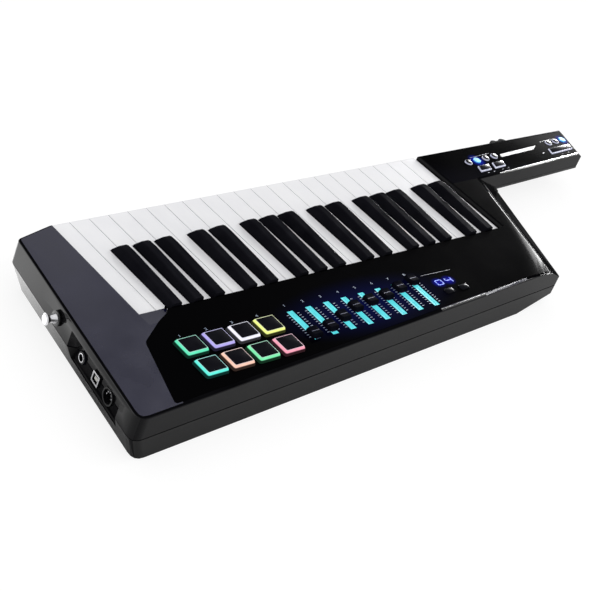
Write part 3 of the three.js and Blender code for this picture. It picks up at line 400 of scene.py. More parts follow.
def moulded_plastic(name, code, roughness, ior, grain, grain_depth, patch=40 * MM):
    """Injection-moulded plastic: a fine skin from the mould, and patches that handling has dulled."""
    material, place = start_material(name)
    dark = to_linear(code)
    pale = tuple(min(1.0, part * 1.25 + 0.002) for part in dark[:3]) + (1,)
    patches = noise(place, patch, 3)
    colour = blend_colours(spread(patches, 0, 1), dark, pale)
    rough = spread(patches, roughness * 0.85, roughness * 1.2)
    skin = bump(noise(place, grain, 1), grain_depth, 0.6)
    inputs = {"Base Color": colour, "Roughness": rough, "IOR": ior, "Normal": skin}
    return finish_material(material, inputs)


def gloss_abs():
    """Black ABS from a polished mould, tinged dark blue as a painted blue reflection; its skin ripples a
    little, 3 mm from crest to crest.
    """
    return moulded_plastic("gloss_black_abs", "#080826", 0.19, 1.265, 3 * MM, 0.004 * MM)


def wall_abs():
    """A shaded copy of the same ABS on the upright walls: it reflects less, so they render darker as
    painted shade.
    """
    return moulded_plastic("gloss_black_abs_walls", "#09090b", 0.16, 1.19, 2 * MM, 0.004 * MM)


def end_abs():
    """A lit copy of the same ABS on the left wall, glossier and more reflective than the other walls, so
    it renders lighter as painted light.
    """
    return moulded_plastic("gloss_black_abs_end", "#08080a", 0.12, 1.25, 2 * MM, 0.004 * MM)


def tucked_abs():
    """A shaded copy of the same ABS that hardly reflects, where the lower half tucks in under the left
    wall: painted shade.
    """
    return moulded_plastic("tucked_shaded_black_abs", "#08080a", 0.14, 1.08, 2 * MM, 0.004 * MM)


def highlight_rim_abs():
    """A lit copy of the same ABS on the rounded rims near the hand, rougher, so that the lamps spread
    along them as soft painted highlight lines.
    """
    return moulded_plastic("highlight_black_abs_rim", "#08080a", 0.32, 1.15, 2 * MM, 0.003 * MM)


def facet_abs():
    """A shaded copy of the same ABS that hardly reflects, so the narrow facets and the other faces given
    it render deep black: painted shade.
    """
    return moulded_plastic("deep_shaded_black_abs", "#060608", 0.08, 1.008, 4 * MM, 0.003 * MM)


def elbow_abs():
    """A shaded copy of the same ABS, reflecting a little more than the one on the facets, in the inner
    corner beside the neck: painted shade.
    """
    return moulded_plastic("half_shaded_black_abs", "#08080a", 0.12, 1.013, 3 * MM, 0.004 * MM)


def lower_abs():
    """Black ABS of the lower half, from a mould that was etched very finely, so it gleams softly."""
    return moulded_plastic("satin_black_abs", "#0b0b0c", 0.2, 1.19, 0.5 * MM, 0.005 * MM)


def printed_acrylic(name, ior, spots):
    """Clear acrylic sheet printed black on its back; lamps beneath shine a little through it, and on the
    neck one glowing spot is a painted sheen.
    """
    material, place = start_material(name)
    patches = noise(place, 60 * MM, 2)
    rough = spread(patches, 0.08, 0.1)
    glow = "#000000"
    for centre, stretch, reach, code, level in spots:
        away = vectors("SUBTRACT", place, centre, "Vector")
        away = vectors("MULTIPLY", away, stretch, "Vector")
        length = vectors("LENGTH", away)
        fade = spread(length, level, 0.0, 0.0, reach, interpolation_type="SMOOTHSTEP")
        light = blend_colours(fade, "#000000", code)
        glow = blend_colours(1.0, glow, light, "ADD")
    return finish_material(material, {
        "Base Color": "#020203",
        "Roughness": rough,
        "IOR": ior,
        "Normal": bump(noise(place, 25 * MM, 0), 0.01 * MM, 0.3),
        "Emission Color": glow,
        "Emission Strength": 1.0,
    })


def white_key_plastic():
    """White key plastic, glossy, a little warmer and duller where fingers rest."""
    material, place = start_material("white_key_acrylic")
    patches = noise(place, 30 * MM, 3)
    return finish_material(material, {
        "Base Color": mottled(patches, "#f3f3f5", "#eeeef1"),
        "Roughness": spread(patches, 0.1, 0.14),
        "IOR": 1.3,
        "Normal": bump(noise(place, 4 * MM, 1), 0.006 * MM, 0.5),
    })


def black_key_plastic():
    """Black key plastic with the matt skin of an etched mould, drawn at 0.6 mm so that it shows."""
    return moulded_plastic("black_key_abs", "#111116", 0.18, 1.022, 0.6 * MM, 0.012 * MM, 20 * MM)


def pad_silicone():
    """Milky silicone lit from inside: each pad in its own colour, paler on its flat top."""
    material, place = start_material("lit_milky_silicone")
    start = at(FIRST_PAD[0] - PAD_PITCH_X / 2, 0, 0).x
    share = spread(axis_of(place, "X"), 0, 1, start, start + PAD_COLUMNS * PAD_PITCH_X)
    tree = material.node_tree
    rows = []
    for codes in (PAD_COLOURS_NEAR, PAD_COLOURS_FAR):
        ramp = add_node(tree, "ShaderNodeValToRGB", {"Fac": share})
        ramp.color_ramp.interpolation = "CONSTANT"
        stops = ramp.color_ramp.elements
        stops[1].position = 1 / PAD_COLUMNS
        for column in range(2, PAD_COLUMNS):
            stops.new(column / PAD_COLUMNS)
        for column, code in enumerate(codes):
            stops[column].color = to_linear(code)
        rows.append(ramp.outputs["Color"])
    middle = at(0, FIRST_PAD[1] - PAD_PITCH_Y / 2, 0).y
    is_far = calculate("GREATER_THAN", axis_of(place, "Y"), middle)
    colour = blend_colours(is_far, rows[0], rows[1])
    normal = add_node(tree, "ShaderNodeNewGeometry").outputs["Normal"]
    is_top = calculate("GREATER_THAN", axis_of(normal, "Z"), 0.8)
    shown = blend_colours(calculate("MULTIPLY", is_top, 0.55), colour, "#b9bcc4")
    cloud = spread(noise(place, 5 * MM, 2), 0.85, 1.0)
    foot = at(0, 0, PAD_FOOT).z
    rise = spread(axis_of(place, "Z"), 0.03, 1.0, foot, foot + PAD_FADE)
    return finish_material(material, {
        "Base Color": shaded(shown, calculate("MULTIPLY", rise, 0.15)),
        "Roughness": 0.5,
        "IOR": 1.03,
        "Emission Color": shaded(shown, calculate("MULTIPLY", cloud, rise)),
        "Emission Strength": 1.12,
    })


def button_silicone():
    """Milky silicone buttons lit from inside; the lit ones glow blue, the others a dull white."""
    material, place = start_material("lit_button_silicone")
    lit = 0.0
    for s, reach in LIT_ROUNDS:
        centre = neck_matrix() @ Vector((s, ROUND_ROW, BUTTON_TOP - DECK))
        near = calculate("LESS_THAN", vectors("DISTANCE", place, centre), ROUND_RADIUS * 1.3)
        lit = calculate("MAXIMUM", near, lit)
    cloud = spread(noise(place, 3 * MM, 2), 0.75, 1.0)
    colour = blend_colours(lit, "#b4b6cc", "#63c4ff")
    return finish_material(material, {
        "Base Color": blend_colours(0.8, colour, "#000000"),
        "Roughness": 0.45,
        "IOR": 1.03,
        "Emission Color": shaded(colour, cloud),
        "Emission Strength": 0.9,
    })


def dark_button_rubber():
    """Black silicone skin printed on the buttons and pads; soft sheen, fine peel 0.8 mm across."""
    return moulded_plastic("printed_black_silicone", "#121217", 0.24, 1.02, 0.8 * MM, 0.01 * MM, 12 * MM)


def fader_plastic():
    """Matt black fader caps, dusty from the etched mould."""
    return moulded_plastic("fader_cap_abs", "#0a0b13", 0.2, 1.02, 0.5 * MM, 0.01 * MM, 8 * MM)


def guide_acrylic():
    """Frosted acrylic that carries cyan light up into the fader slots, brighter in streaks."""
    material, place = start_material("lit_frosted_acrylic")
    streak = spread(noise(place, 6 * MM, 2), 0.82, 1.0)
    return finish_material(material, {
        "Base Color": "#0a3036",
        "Roughness": 0.35,
        "IOR": 1.05,
        "Emission Color": shaded("#5fe9f2", streak),
        "Emission Strength": 0.95,
    })


def shade_film():
    """Black film under each fader cap that hides the light of the guide; it glows a faint mottled deep
    blue, a painted glow for the light seen at its two ends beside the cap.
    """
    material, place = start_material("light_stop_film")
    mottle = spread(noise(place, 2 * MM, 2), 0.4, 1.0)
    return finish_material(material, {
        "Base Color": "#07070c",
        "Roughness": 0.5,
        "Emission Color": shaded("#101a5a", mottle),
        "Emission Strength": 0.35,
    })


def screen_ink(name, colour):
    """Opaque screen-printed ink: thin, slightly uneven in its cover. On the fader caps it paints a
    highlight line.
    """
    material, place = start_material(name)
    cover = spread(noise(place, 0.6 * MM, 2), 0.8, 1.0)
    return finish_material(material, {
        "Base Color": shaded(colour, cover),
        "Roughness": 0.5,
        "IOR": 1.05,
        "Normal": bump(noise(place, 0.4 * MM, 1), 0.004 * MM, 0.5),
    })


def lit_segment():
    """Blue segments of the display, lit, paler blue in random patches."""
    material, place = start_material("lit_display_segment")
    return finish_material(material, {
        "Base Color": "#05081c",
        "Roughness": 0.3,
        "IOR": 1.05,
        "Emission Color": mottled(noise(place, 2.5 * MM, 1), "#2446ff", "#86a6ff"),
        "Emission Strength": 1.0,
    })


def plated_steel():
    """Nickel-plated steel, turned, with faint rings 0.4 mm apart."""
    material, place = start_material("turned_nickel_plate")
    patches = noise(place, 3 * MM, 3)
    return finish_material(material, {
        "Base Color": mottled(patches, "#e0e0e2", "#cbcbcf"),
        "Metallic": 1.0,
        "Roughness": spread(patches, 0.1, 0.2),
        "Normal": bump(noise(place, 0.4 * MM, 0), 0.006 * MM, 0.6),
    })


def collar_nylon():
    """Black nylon collar, turned and polished, with tool rings 0.5 mm apart."""
    return moulded_plastic("polished_black_nylon", "#0a0a0b", 0.18, 1.42, 0.5 * MM, 0.01 * MM, 6 * MM)


def tongue_plastic():
    """Pale insulating plastic inside the square socket, satin and a little yellowed."""
    return moulded_plastic("pale_socket_nylon", "#b9b9b4", 0.4, 1.5, 0.5 * MM, 0.01 * MM, 5 * MM)


def ribbon_film():
    """Polyester film over the touch strip, satin: a pale band between black printed borders."""
    material, place = start_material("satin_polyester_film")
    pale = mottled(noise(place, 12 * MM, 4), "#d2ced2", "#bfbbc0")
    matrix = neck_matrix()
    across = matrix.to_3x3() @ Vector((0, 1, 0))
    middle = across.dot(matrix @ Vector((0, RIBBON_MIDDLE, 0)))
    run = vectors("DOT_PRODUCT", place, across)
    offset = calculate("ABSOLUTE", calculate("SUBTRACT", run, middle))
    border = calculate("GREATER_THAN", offset, RIBBON_PALE / 2)
    return finish_material(material, {
        "Base Color": blend_colours(border, pale, "#09090b"),
        "Roughness": 0.38,
        "IOR": 1.03,
        "Normal": bump(noise(place, 0.5 * MM, 1), 0.004 * MM),
    })


def board_and_sockets():
    """Green solder mask on the board, and black plastic for the bodies that stand on it."""
    material, place = start_material("solder_mask_and_socket_abs")
    z = axis_of(place, "Z")
    above = calculate("GREATER_THAN", z, at(0, 0, BOARD_LOW).z)
    below = calculate("LESS_THAN", z, at(0, 0, BOARD_HIGH).z)
    is_board = calculate("MULTIPLY", above, below)
    green = mottled(noise(place, 4 * MM, 1), "#0f4a30", "#1b6a45", 0.48, 0.52)
    return finish_material(material, {
        "Base Color": blend_colours(is_board, "#0c0c0e", green),
        "Roughness": spread(noise(place, 8 * MM, 2), 0.3, 0.45),
        "Normal": bump(noise(place, 0.5 * MM, 1), 0.01 * MM),
    })


def frame_plastic():
    """Grey glass-filled plastic of the key frame, matt from the mould."""
    return moulded_plastic("glass_filled_grey_nylon", "#3b3b3f", 0.55, 1.5, 0.7 * MM, 0.02 * MM)


def wheel_plastic():
    """Satin black wheel, etched for grip."""
    return moulded_plastic("etched_black_wheel", "#070709", 0.2, 1.01, 0.6 * MM, 0.006 * MM, 10 * MM)


# Modelling helpers. Lengths are in metres, and each piece is made about its own origin first.


def clear_selection():
    bpy.ops.object.select_all(action="DESELECT")


def select_only(piece):
    clear_selection()
    piece.select_set(True)
    bpy.context.view_layer.objects.active = piece


def pick_faces(piece, test):
    """In edit mode, selects the faces whose centre and normal pass the test."""
    bpy.ops.mesh.select_all(action="DESELECT")
    bpy.ops.object.mode_set(mode="OBJECT")
    for face in piece.data.polygons:
        face.select = test(face.center, face.normal)
    bpy.ops.object.mode_set(mode="EDIT")
    bpy.ops.mesh.select_mode(type="FACE")


def edit_all():
    """Opens the active piece for editing, with all of it selected."""
    bpy.ops.object.mode_set(mode="EDIT")
    bpy.ops.mesh.select_all(action="SELECT")


def raised(piece, height, edge):
    """Makes a solid of the flat outline that is open for editing, rounded along its upper edge."""
    bpy.ops.mesh.extrude_region_move(TRANSFORM_OT_translate={"value": (0, 0, height)})
    bpy.ops.mesh.select_all(action="SELECT")
    bpy.ops.mesh.normals_make_consistent(inside=False)
    if edge:
        pick_faces(piece, lambda centre, normal: normal.z > SQUARE_TO_AXIS)
        bpy.ops.mesh.region_to_loop()
        bpy.ops.mesh.bevel(offset=edge, segments=2, affect="EDGES")
    bpy.ops.object.mode_set(mode="OBJECT")
    return piece


def outline_plate(corners, low, high, edge, rounding=0.0):
    """A plate with the given outline in plan, rounded at its corners and along its upper edge."""
    clear_selection()
    bpy.ops.mesh.primitive_plane_add(size=1)
    piece = bpy.context.object
    for vertex, order in zip(piece.data.vertices, (0, 1, 3, 2)):
        vertex.co = (*corners[order], low)
    edit_all()
    if rounding:
        bpy.ops.mesh.bevel(offset=rounding, segments=5, affect="VERTICES")
        bpy.ops.mesh.select_all(action="SELECT")
    return raised(piece, high - low, edge)


def plate(width, depth, low, high, edge, rounding=0.0):
    x, y = width / 2, depth / 2
    return outline_plate([(-x, -y), (x, -y), (x, y), (-x, y)], low, high, edge, rounding)


def disc(radius, low, high, edge, sides=ROUND_SIDES):
    clear_selection()
    bpy.ops.mesh.primitive_circle_add(
        vertices=sides, radius=radius, fill_type="NGON", location=(0, 0, low))
    piece = bpy.context.object
    bpy.ops.object.transform_apply(location=True)
    edit_all()
    return raised(piece, high - low, edge)


def discard(piece):
    mesh = piece.data
    bpy.data.objects.remove(piece)
    bpy.data.meshes.remove(mesh)


def apply_modifier(piece, kind, **settings):
    modifier = piece.modifiers.new(kind, kind)
    for key, value in settings.items():
        setattr(modifier, key, value)
    select_only(piece)
    bpy.ops.object.modifier_apply(modifier=modifier.name)
    return piece


def cut_out(piece, tool):
    """Cuts one piece with another, and removes the tool."""
    apply_modifier(piece, "BOOLEAN", object=tool, solver="EXACT")
    discard(tool)
    return piece


def soften(piece, edge, bend=EDGE_BEND):
    """Rounds the edges of a piece that bend more than so many degrees."""
    limit = math.radians(bend)
    return apply_modifier(piece, "BEVEL", width=edge, segments=2, limit_method="ANGLE", angle_limit=limit)


def ring(radii, low, high, edge, sides=ROUND_SIDES):
    """A flat ring with softened edges; six sides give a nut."""
    reach = high - low
    tool = disc(radii[1], low - reach, high + reach, 0)
    return soften(cut_out(disc(radii[0], low, high, 0, sides), tool), edge)


def frame_plate(width, depth, rim, low, high, edge):
    """A rectangular plate with a rectangular window."""
    reach = high - low
    tool = plate(width - 2 * rim, depth - 2 * rim, low - reach, high + reach, 0)
    return soften(cut_out(plate(width, depth, low, high, 0), tool), edge)


def repeated(piece, count, step):
    """Repeats a piece in a row, as one mesh."""
    apply_modifier(
        piece, "ARRAY", count=count, use_relative_offset=False,
        use_constant_offset=True, constant_offset_displace=step)


def set_down(piece, matrix):
    piece.matrix_world = matrix
    select_only(piece)
    bpy.ops.object.transform_apply(location=True, rotation=True, scale=True)
    return piece


def duplicate(piece):
    copy = piece.copy()
    copy.data = piece.data.copy()
    bpy.context.collection.objects.link(copy)
    return copy


def copy_at(piece, place):
    return set_down(duplicate(piece), Matrix.Translation(place))


def joined(pieces):
    clear_selection()
    for piece in pieces:
        piece.select_set(True)
    bpy.context.view_layer.objects.active = pieces[0]
    bpy.ops.object.join()
    return bpy.context.object


def complete(piece, name, body, material, bend=PIECE_BEND):
    """Names a finished piece, smooths it, and gives it its finish and the body it rides on."""
    piece.name = name
    piece.data.name = name
    select_only(piece)
    bpy.ops.object.shade_smooth_by_angle(angle=math.radians(bend))
    give_finish(piece, material)
    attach(piece, body)


def give_finish(piece, material):
    piece.data.materials.clear()
    piece.data.materials.append(material)


def paint(material, *nodes):
    for name in nodes:
        give_finish(frame["nodes"][name], material)


def body_named(node):
    for body, nodes in frame["record"]["behaviour"]["bodies"].items():
        if node in nodes:
            return body
    raise RuntimeError("no body holds " + node)


def cut_across(piece, place, normal):
    """Splits the faces of a piece along a plane, so that each side can have its own finish."""
    select_only(piece)
    edit_all()
    bpy.ops.mesh.bisect(plane_co=place, plane_no=normal)
    bpy.ops.object.mode_set(mode="OBJECT")


def round_edges(piece, width, test):
    """Rounds the edges whose middle and neighbouring normals pass the test."""
    normals = {}
    for face in piece.data.polygons:
        for key in face.edge_keys:
            normals.setdefault(key, []).append(face.normal.copy())
    select_only(piece)
    bpy.ops.object.mode_set(mode="EDIT")
    bpy.ops.mesh.select_mode(type="EDGE")
    bpy.ops.mesh.select_all(action="DESELECT")
    bpy.ops.object.mode_set(mode="OBJECT")
    points = piece.data.vertices
    for edge in piece.data.edges:
        middle = (points[edge.vertices[0]].co + points[edge.vertices[1]].co) / 2
        edge.select = test(middle, normals[edge.key])
    bpy.ops.object.mode_set(mode="EDIT")
    bpy.ops.mesh.bevel(offset=width, segments=3, affect="EDGES")
    bpy.ops.object.mode_set(mode="OBJECT")


def smooth_copy(node, material, bend, edge=0.0, prepare=None):
    """A merged copy of a CAD node with its curves shaded smooth, and its edges softened."""
    copy = duplicate(frame["nodes"][node])
    copy.parent = None
    for key in list(copy.keys()):
        del copy[key]
    copy.matrix_world = Matrix.Identity(4)
    select_only(copy)
    edit_all()
    bpy.ops.mesh.remove_doubles(threshold=MERGE_DISTANCE)
    bpy.ops.mesh.dissolve_limited(angle_limit=math.radians(FLAT_BEND))
    bpy.ops.object.mode_set(mode="OBJECT")
    if prepare:
        prepare(copy)
    if edge:
        soften(copy, edge, KEY_EDGE_BEND)
    complete(copy, node + "_finished", body_named(node), material, bend)
    apply_modifier(copy, "WEIGHTED_NORMAL", keep_sharp=True)
    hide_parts(node)
    return copy


def paint_faces(piece, material, test):
    """Gives another finish to the faces whose centre and normal pass the test."""
    piece.data.materials.append(material)
    for face in piece.data.polygons:
        if test(face.center, face.normal):
            face.material_index = len(piece.data.materials) - 1


# Settings


def length_setting(name, description, default):
    return FloatProperty(name=name, description=description, default=default, unit="LENGTH")


class KeytarSizes(PropertyGroup):
    """Sizes of the pieces that dress the keytar"""

    pad_skin_width: length_setting(
        "Pad skin width", "Printed black skin on each pad, along the keys", 21 * MM)
    pad_skin_depth: length_setting(
        "Pad skin depth", "Printed black skin on each pad, across the keys", 17.2 * MM)
    tick_length: length_setting("Tick length", "Length of each tick beside a fader", 2.8 * MM)
    tick_pitch: length_setting("Tick pitch", "Distance from one tick to the next", 3.25 * MM)
    tick_count: IntProperty(
        name="Ticks", description="Ticks on each side of a fader", default=11, min=1)
    digit_height: length_setting("Digit height", "Height of the digits in the display", 8.4 * MM)
    number_height: length_setting("Number height", "Height of the printed numbers", 3.0 * MM)
    collar_radius: length_setting(
        "Collar radius", "Outer radius of the collar behind the left strap button", 7.2 * MM)


class KeytarColours(PropertyGroup):
    """Colours that a user may want to change"""

    ink: FloatVectorProperty(
        name="Ink", description="Colour of the printed marks", subtype="COLOR", size=4,
        default=to_linear("#9eacc2"), min=0, max=1)


def sizes():
    return bpy.context.scene.keytar_sizes


# Operators


def finish_upper_half():
    """Polished, with lit and shaded copies of its finish that paint light and shade on its walls, facets,
    rims, left end and inner corner.
    """
    block_left = at(BLOCK_LEFT, 0, 0).x
    highlight_rim_left = at(HIGHLIGHT_RIM_LEFT, 0, 0).x
    roll_corner = at(ROLL_LEFT, ROLL_NEAR_Y, 0)
    elbow = at(0, ELBOW_CUT, 0)
    strip_start, strip_end = (at(x, STRIP_Y, 0) for x in STRIP)

    def is_rim(middle, normals):
        faces_up = any(normal.z > SQUARE_TO_AXIS for normal in normals)
        faces_near = any(normal.y < -SQUARE_TO_AXIS for normal in normals)
        return middle.x > roll_corner.x and middle.y < roll_corner.y and faces_up and faces_near

    def prepare(piece):
        cut_across(piece, elbow, (0, 1, 0))
        cut_across(piece, strip_start, (1, 0, 0))
        cut_across(piece, strip_end, (1, 0, 0))
        round_edges(piece, RIM, is_rim)

    # Faces that take the deep black copy, painted shade: every sloped face, such as the narrow facets and
    # rounded edges, the flat strip along the near edge up to the strip's end, and the flats right of the
    # block's left edge.
    def is_facet(centre, normal):
        if normal.z < LEAN_OF_FLATS:
            return normal.z >= LEAN_OF_WALLS
        in_strip = centre.y < strip_start.y and strip_start.x < centre.x < strip_end.x
        return in_strip or centre.x > block_left

    # Faces that take the rough copy, a painted highlight: the flat strip along the near edge right of the
    # strip's end, and the rounded near edges right of 330 mm.
    def is_highlight_rim(centre, normal):
        if normal.z >= LEAN_OF_FLATS:
            return centre.y < strip_end.y and centre.x > strip_end.x
        return normal.z >= LEAN_OF_WALLS and normal.y < NEAR_SIDE and centre.x > highlight_rim_left

    def is_elbow(centre, normal):
        low, high = ELBOW_LEANS
        return centre.y > elbow.y and normal.x > ELBOW_SIDE and low < normal.z < high

    upper = smooth_copy("top_shell", gloss_abs(), HOUSING_BEND, prepare=prepare)
    paint_faces(upper, wall_abs(), lambda centre, normal: abs(normal.z) < LEAN_OF_WALLS)
    paint_faces(upper, facet_abs(), is_facet)
    paint_faces(upper, highlight_rim_abs(), is_highlight_rim)
    paint_faces(upper, end_abs(), is_left_end)
    paint_faces(upper, elbow_abs(), is_elbow)


def is_left_end(centre, normal):
    return normal.x < LEFT_SIDE


def finish_lower_half():
    """Satin, with a shaded copy of its finish at the left end, and the deep black copy in a band just
    under the seam as painted shadow.
    """
    seam = at(0, 0, SEAM_Z - SEAM_SHADOW_DROP)

    # A band just under the seam, painted deep black as the seam's shadow.
    def is_seam_shadow(centre, normal):
        return abs(normal.z) < LEAN_OF_WALLS and seam.z < centre.z < seam.z + SEAM_SHADOW_REACH

    lower = smooth_copy("bottom_shell", lower_abs(), HOUSING_BEND,
                        prepare=lambda piece: cut_across(piece, seam, (0, 0, 1)))
    paint_faces(lower, tucked_abs(), is_left_end)
    paint_faces(lower, facet_abs(), is_seam_shadow)
    paint(lower_abs(), "battery_door")


def finish_sheet():
    """Glossy over the panel and, as a shaded copy that reflects less, nearly black over the neck: painted
    shade. Light shines through both.
    """
    stretch, code, level = BUTTON_GLOW
    panel_spots = [(at(*place), *rest) for place, *rest in PANEL_GLOWS]
    neck_spots = [(at(*place), *rest) for place, *rest in NECK_PAINTED_SHEEN]
    for s, reach in LIT_ROUNDS:
        neck_spots.append((neck_matrix() @ Vector((s, ROUND_ROW, 0)), stretch, reach, code, level))
    neck_start = at(0, NECK_CUT, 0)
    panel_sheet = printed_acrylic("back_printed_acrylic", SHEET_IOR, panel_spots)
    shaded_neck_sheet = printed_acrylic("back_printed_acrylic_neck_shaded", SHADED_NECK_SHEET_IOR, neck_spots)
    sheet = smooth_copy("fascia", panel_sheet, HOUSING_BEND,
                        prepare=lambda piece: cut_across(piece, neck_start, (0, 1, 0)))
    paint_faces(sheet, shaded_neck_sheet, lambda centre, normal: centre.y > neck_start.y)


class KEYTAR_OT_housing(Operator):
    """Finish the two halves of the housing, the door and the sheet over the panel"""

    bl_idname = "keytar.housing"
    bl_label = "Housing"

    def execute(self, context):
        finish_upper_half()
        finish_lower_half()
        finish_sheet()
        return {"FINISHED"}


class KEYTAR_OT_keys(Operator):
    """Finish the white and black keys and the frame that carries them"""

    bl_idname = "keytar.keys"
    bl_label = "Keys"

    def execute(self, context):
        white = white_key_plastic()
        black = black_key_plastic()
        for name in sorted(frame["nodes"]):
            if name.startswith("white_key"):
                paint(white, name)
            if name.startswith("black_key"):
                smooth_copy(name, black, KEY_BEND, KEY_EDGE)
        paint(frame_plastic(), "key_frame")
        return {"FINISHED"}


class KEYTAR_OT_pads(Operator):
    """Light the pads and lay a black skin on each"""

    bl_idname = "keytar.pads"
    bl_label = "Pads"

    def execute(self, context):
        paint(pad_silicone(), "pad_mat")
        size = sizes()
        skin = dark_button_rubber()
        first = plate(
            size.pad_skin_width, size.pad_skin_depth,
            LIFT, PAD_SKIN_THICKNESS, PAD_SKIN_EDGE, PAD_SKIN_CORNER)
        for index in range(PAD_ROWS * PAD_COLUMNS):
            row, column = divmod(index, PAD_COLUMNS)
            x = FIRST_PAD[0] + column * PAD_PITCH_X
            y = FIRST_PAD[1] - row * PAD_PITCH_Y
            copy = copy_at(first, at(x, y, PAD_TOP))
            complete(copy, "pad_skin_%d" % (index + 1), "pads", skin)
        discard(first)
        return {"FINISHED"}


class KEYTAR_OT_faders(Operator):
    """Finish the fader caps, the painted highlight lines on them, the lit guide and the light stops under
    the caps
    """

    bl_idname = "keytar.faders"
    bl_label = "Faders"

    def execute(self, context):
        cap = fader_plastic()
        # A pale line across each cap at the bottom of its scoop: a painted highlight.
        highlight_ink = screen_ink("painted_cap_highlight", "#565a72")
        stop_film = shade_film()
        paint(guide_acrylic(), "light_guide")
        width, depth, thickness = CAP_HIGHLIGHT
        line = plate(width, depth, LIFT, thickness, 0)
        width, depth, thickness = LIGHT_STOP
        stop = plate(width, depth, 0, thickness, 0)
        for index in range(1, FADER_COUNT + 1):
            name = "fader_cap_%d" % index
            low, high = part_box(name)
            paint(cap, name)
            middle = (low + high) / 2
            mark = copy_at(line, (middle.x, middle.y, high.z - CAP_SCOOP))
            complete(mark, "cap_highlight_%d" % index, name, highlight_ink)
            shade = copy_at(stop, (middle.x, middle.y, at(0, 0, DECK).z + LIFT))
            complete(shade, "light_stop_%d" % index, name, stop_film)
        discard(line)
        discard(stop)
        return {"FINISHED"}


def number_mark(text, height, place):
    """A plain wide number as a thin flat mesh, centred at a place on the panel."""
    clear_selection()
    bpy.ops.object.text_add(location=(0, 0, 0))
    words = bpy.context.object
    words.data.body = text
    words.data.size = height / FIGURE_SHARE
    words.data.align_x = "CENTER"
    words.data.align_y = "CENTER"
    words.data.extrude = INK / 2
    words.data.resolution_u = 3
    bpy.ops.object.convert(target="MESH")
    wide = Matrix.Diagonal((NUMBER_WIDTH_SHARE, 1, 1, 1))
    return set_down(bpy.context.object, Matrix.Translation(place) @ wide)


class KEYTAR_OT_panel_marks(Operator):
    """Print the ticks, numbers and lines of the panel"""

    bl_idname = "keytar.panel_marks"
    bl_label = "Panel marks"

    def execute(self, context):
        size = sizes()
        ink = screen_ink("pale_screen_ink", tuple(context.scene.keytar_colours.ink))
        grey = screen_ink("grey_screen_ink", "#6a6c78")
        level = DECK + LIFT
        ticks = []
        for offset in TICK_OFFSETS:
            tick = plate(size.tick_length, TICK_WIDTH, 0, INK, 0)
            set_down(tick, Matrix.Translation(at(FIRST_FADER_X + offset, FIRST_TICK_Y, level)))
            repeated(tick, size.tick_count, (0, -size.tick_pitch, 0))
            repeated(tick, FADER_COUNT, (FADER_PITCH, 0, 0))
            ticks.append(tick)
        complete(joined(ticks), "fader_ticks", "housing", ink)
        numbers = []
        rows = (
            (FADER_COUNT, FIRST_FADER_X, FADER_PITCH, FADER_NUMBER_Y),
            (PAD_COLUMNS, FIRST_PAD[0], PAD_PITCH_X, PAD_NUMBER_Y),
        )
        for count, first, pitch, y in rows:
            for index in range(count):
                place = at(first + index * pitch, y, level)
                numbers.append(number_mark(str(index + 1), size.number_height, place))
        complete(joined(numbers), "panel_numbers", "housing", ink)
        line = plate(DISPLAY_LINE_LENGTH, LINE_WIDTH, 0, INK, 0)
        turn = Matrix.Rotation(math.radians(DISPLAY_LINE_TURN), 4, "Z")
        set_down(line, Matrix.Translation(at(*DISPLAY_LINE_PLACE, level)) @ turn)
        complete(line, "display_line", "housing", grey)
        return {"FINISHED"}


# The seven strokes of a digit: middle x, middle y and whether it stands, as shares of the height.
STROKES = {
    "a": (0, 0.42, False), "g": (0, 0, False), "d": (0, -0.42, False),
    "f": (-0.5, 0.21, True), "b": (0.5, 0.21, True),
    "e": (-0.5, -0.21, True), "c": (0.5, -0.21, True),
}
DIGITS = {"0": "abcdef", "4": "bcfg"}

# Shares of a digit's height: a stroke's width, and its length lying or standing. Shares of that
# width: a standing stroke's own, and a stroke's corners.
STROKE_WIDTH_SHARE = 0.14
LYING_LENGTH_SHARE = 0.84
STANDING_LENGTH_SHARE = 0.4
STANDING_WIDTH_SHARE = 1.2
CORNER_SHARE = 0.35


class KEYTAR_OT_display(Operator):
    """Light the digits in the display and finish the two buttons below it"""

    bl_idname = "keytar.display"
    bl_label = "Display"

    def execute(self, context):
        height = sizes().digit_height
        width = height * STROKE_WIDTH_SHARE
        corner = width * CORNER_SHARE
        lying = plate(height * LYING_LENGTH_SHARE, width, 0, INK, 0, corner)
        standing = plate(
            width * STANDING_WIDTH_SHARE, height * STANDING_LENGTH_SHARE, 0, INK, 0, corner)
        strokes = []
        for column, digit in enumerate("04"):
            middle = at(FIRST_DIGIT_X + column * DIGIT_PITCH, DISPLAY_Y, DECK + LIFT)
            for key in DIGITS[digit]:
                x, y, is_standing = STROKES[key]
                source = standing if is_standing else lying
                strokes.append(copy_at(source, middle + Vector((x, y, 0)) * height))
        discard(lying)
        discard(standing)
        complete(joined(strokes), "display_digits", "housing", lit_segment())
        skin = dark_button_rubber()
        paint(skin, "panel_keypad")
        for index in range(BUTTON_COUNT):
            top = plate(*BUTTON_SKIN, 0, SKIN_THICKNESS, BUTTON_SKIN_EDGE, BUTTON_SKIN_CORNER)
            x = FIRST_BUTTON[0] + index * BUTTON_PITCH
            set_down(top, Matrix.Translation(at(x, FIRST_BUTTON[1], BUTTON_TOP + LIFT)))
            complete(top, "panel_button_top_%d" % (index + 1), "panel_buttons", skin)
        return {"FINISHED"}


def slanted_corners(start, length, near, left, far, right):
    """Outline of a slanted bar button in the neck's directions, less a margin on each side."""
    low = BAR_ROW + near
    high = BAR_ROW + BAR_DEPTH - far
    low_start = start + near * BAR_LEAN_SHARE
    high_start = start + (BAR_DEPTH - far) * BAR_LEAN_SHARE
    return [
        (low_start + left, low),
        (low_start + length - right, low),
        (high_start + length - right, high),
        (high_start + left, high),
    ]


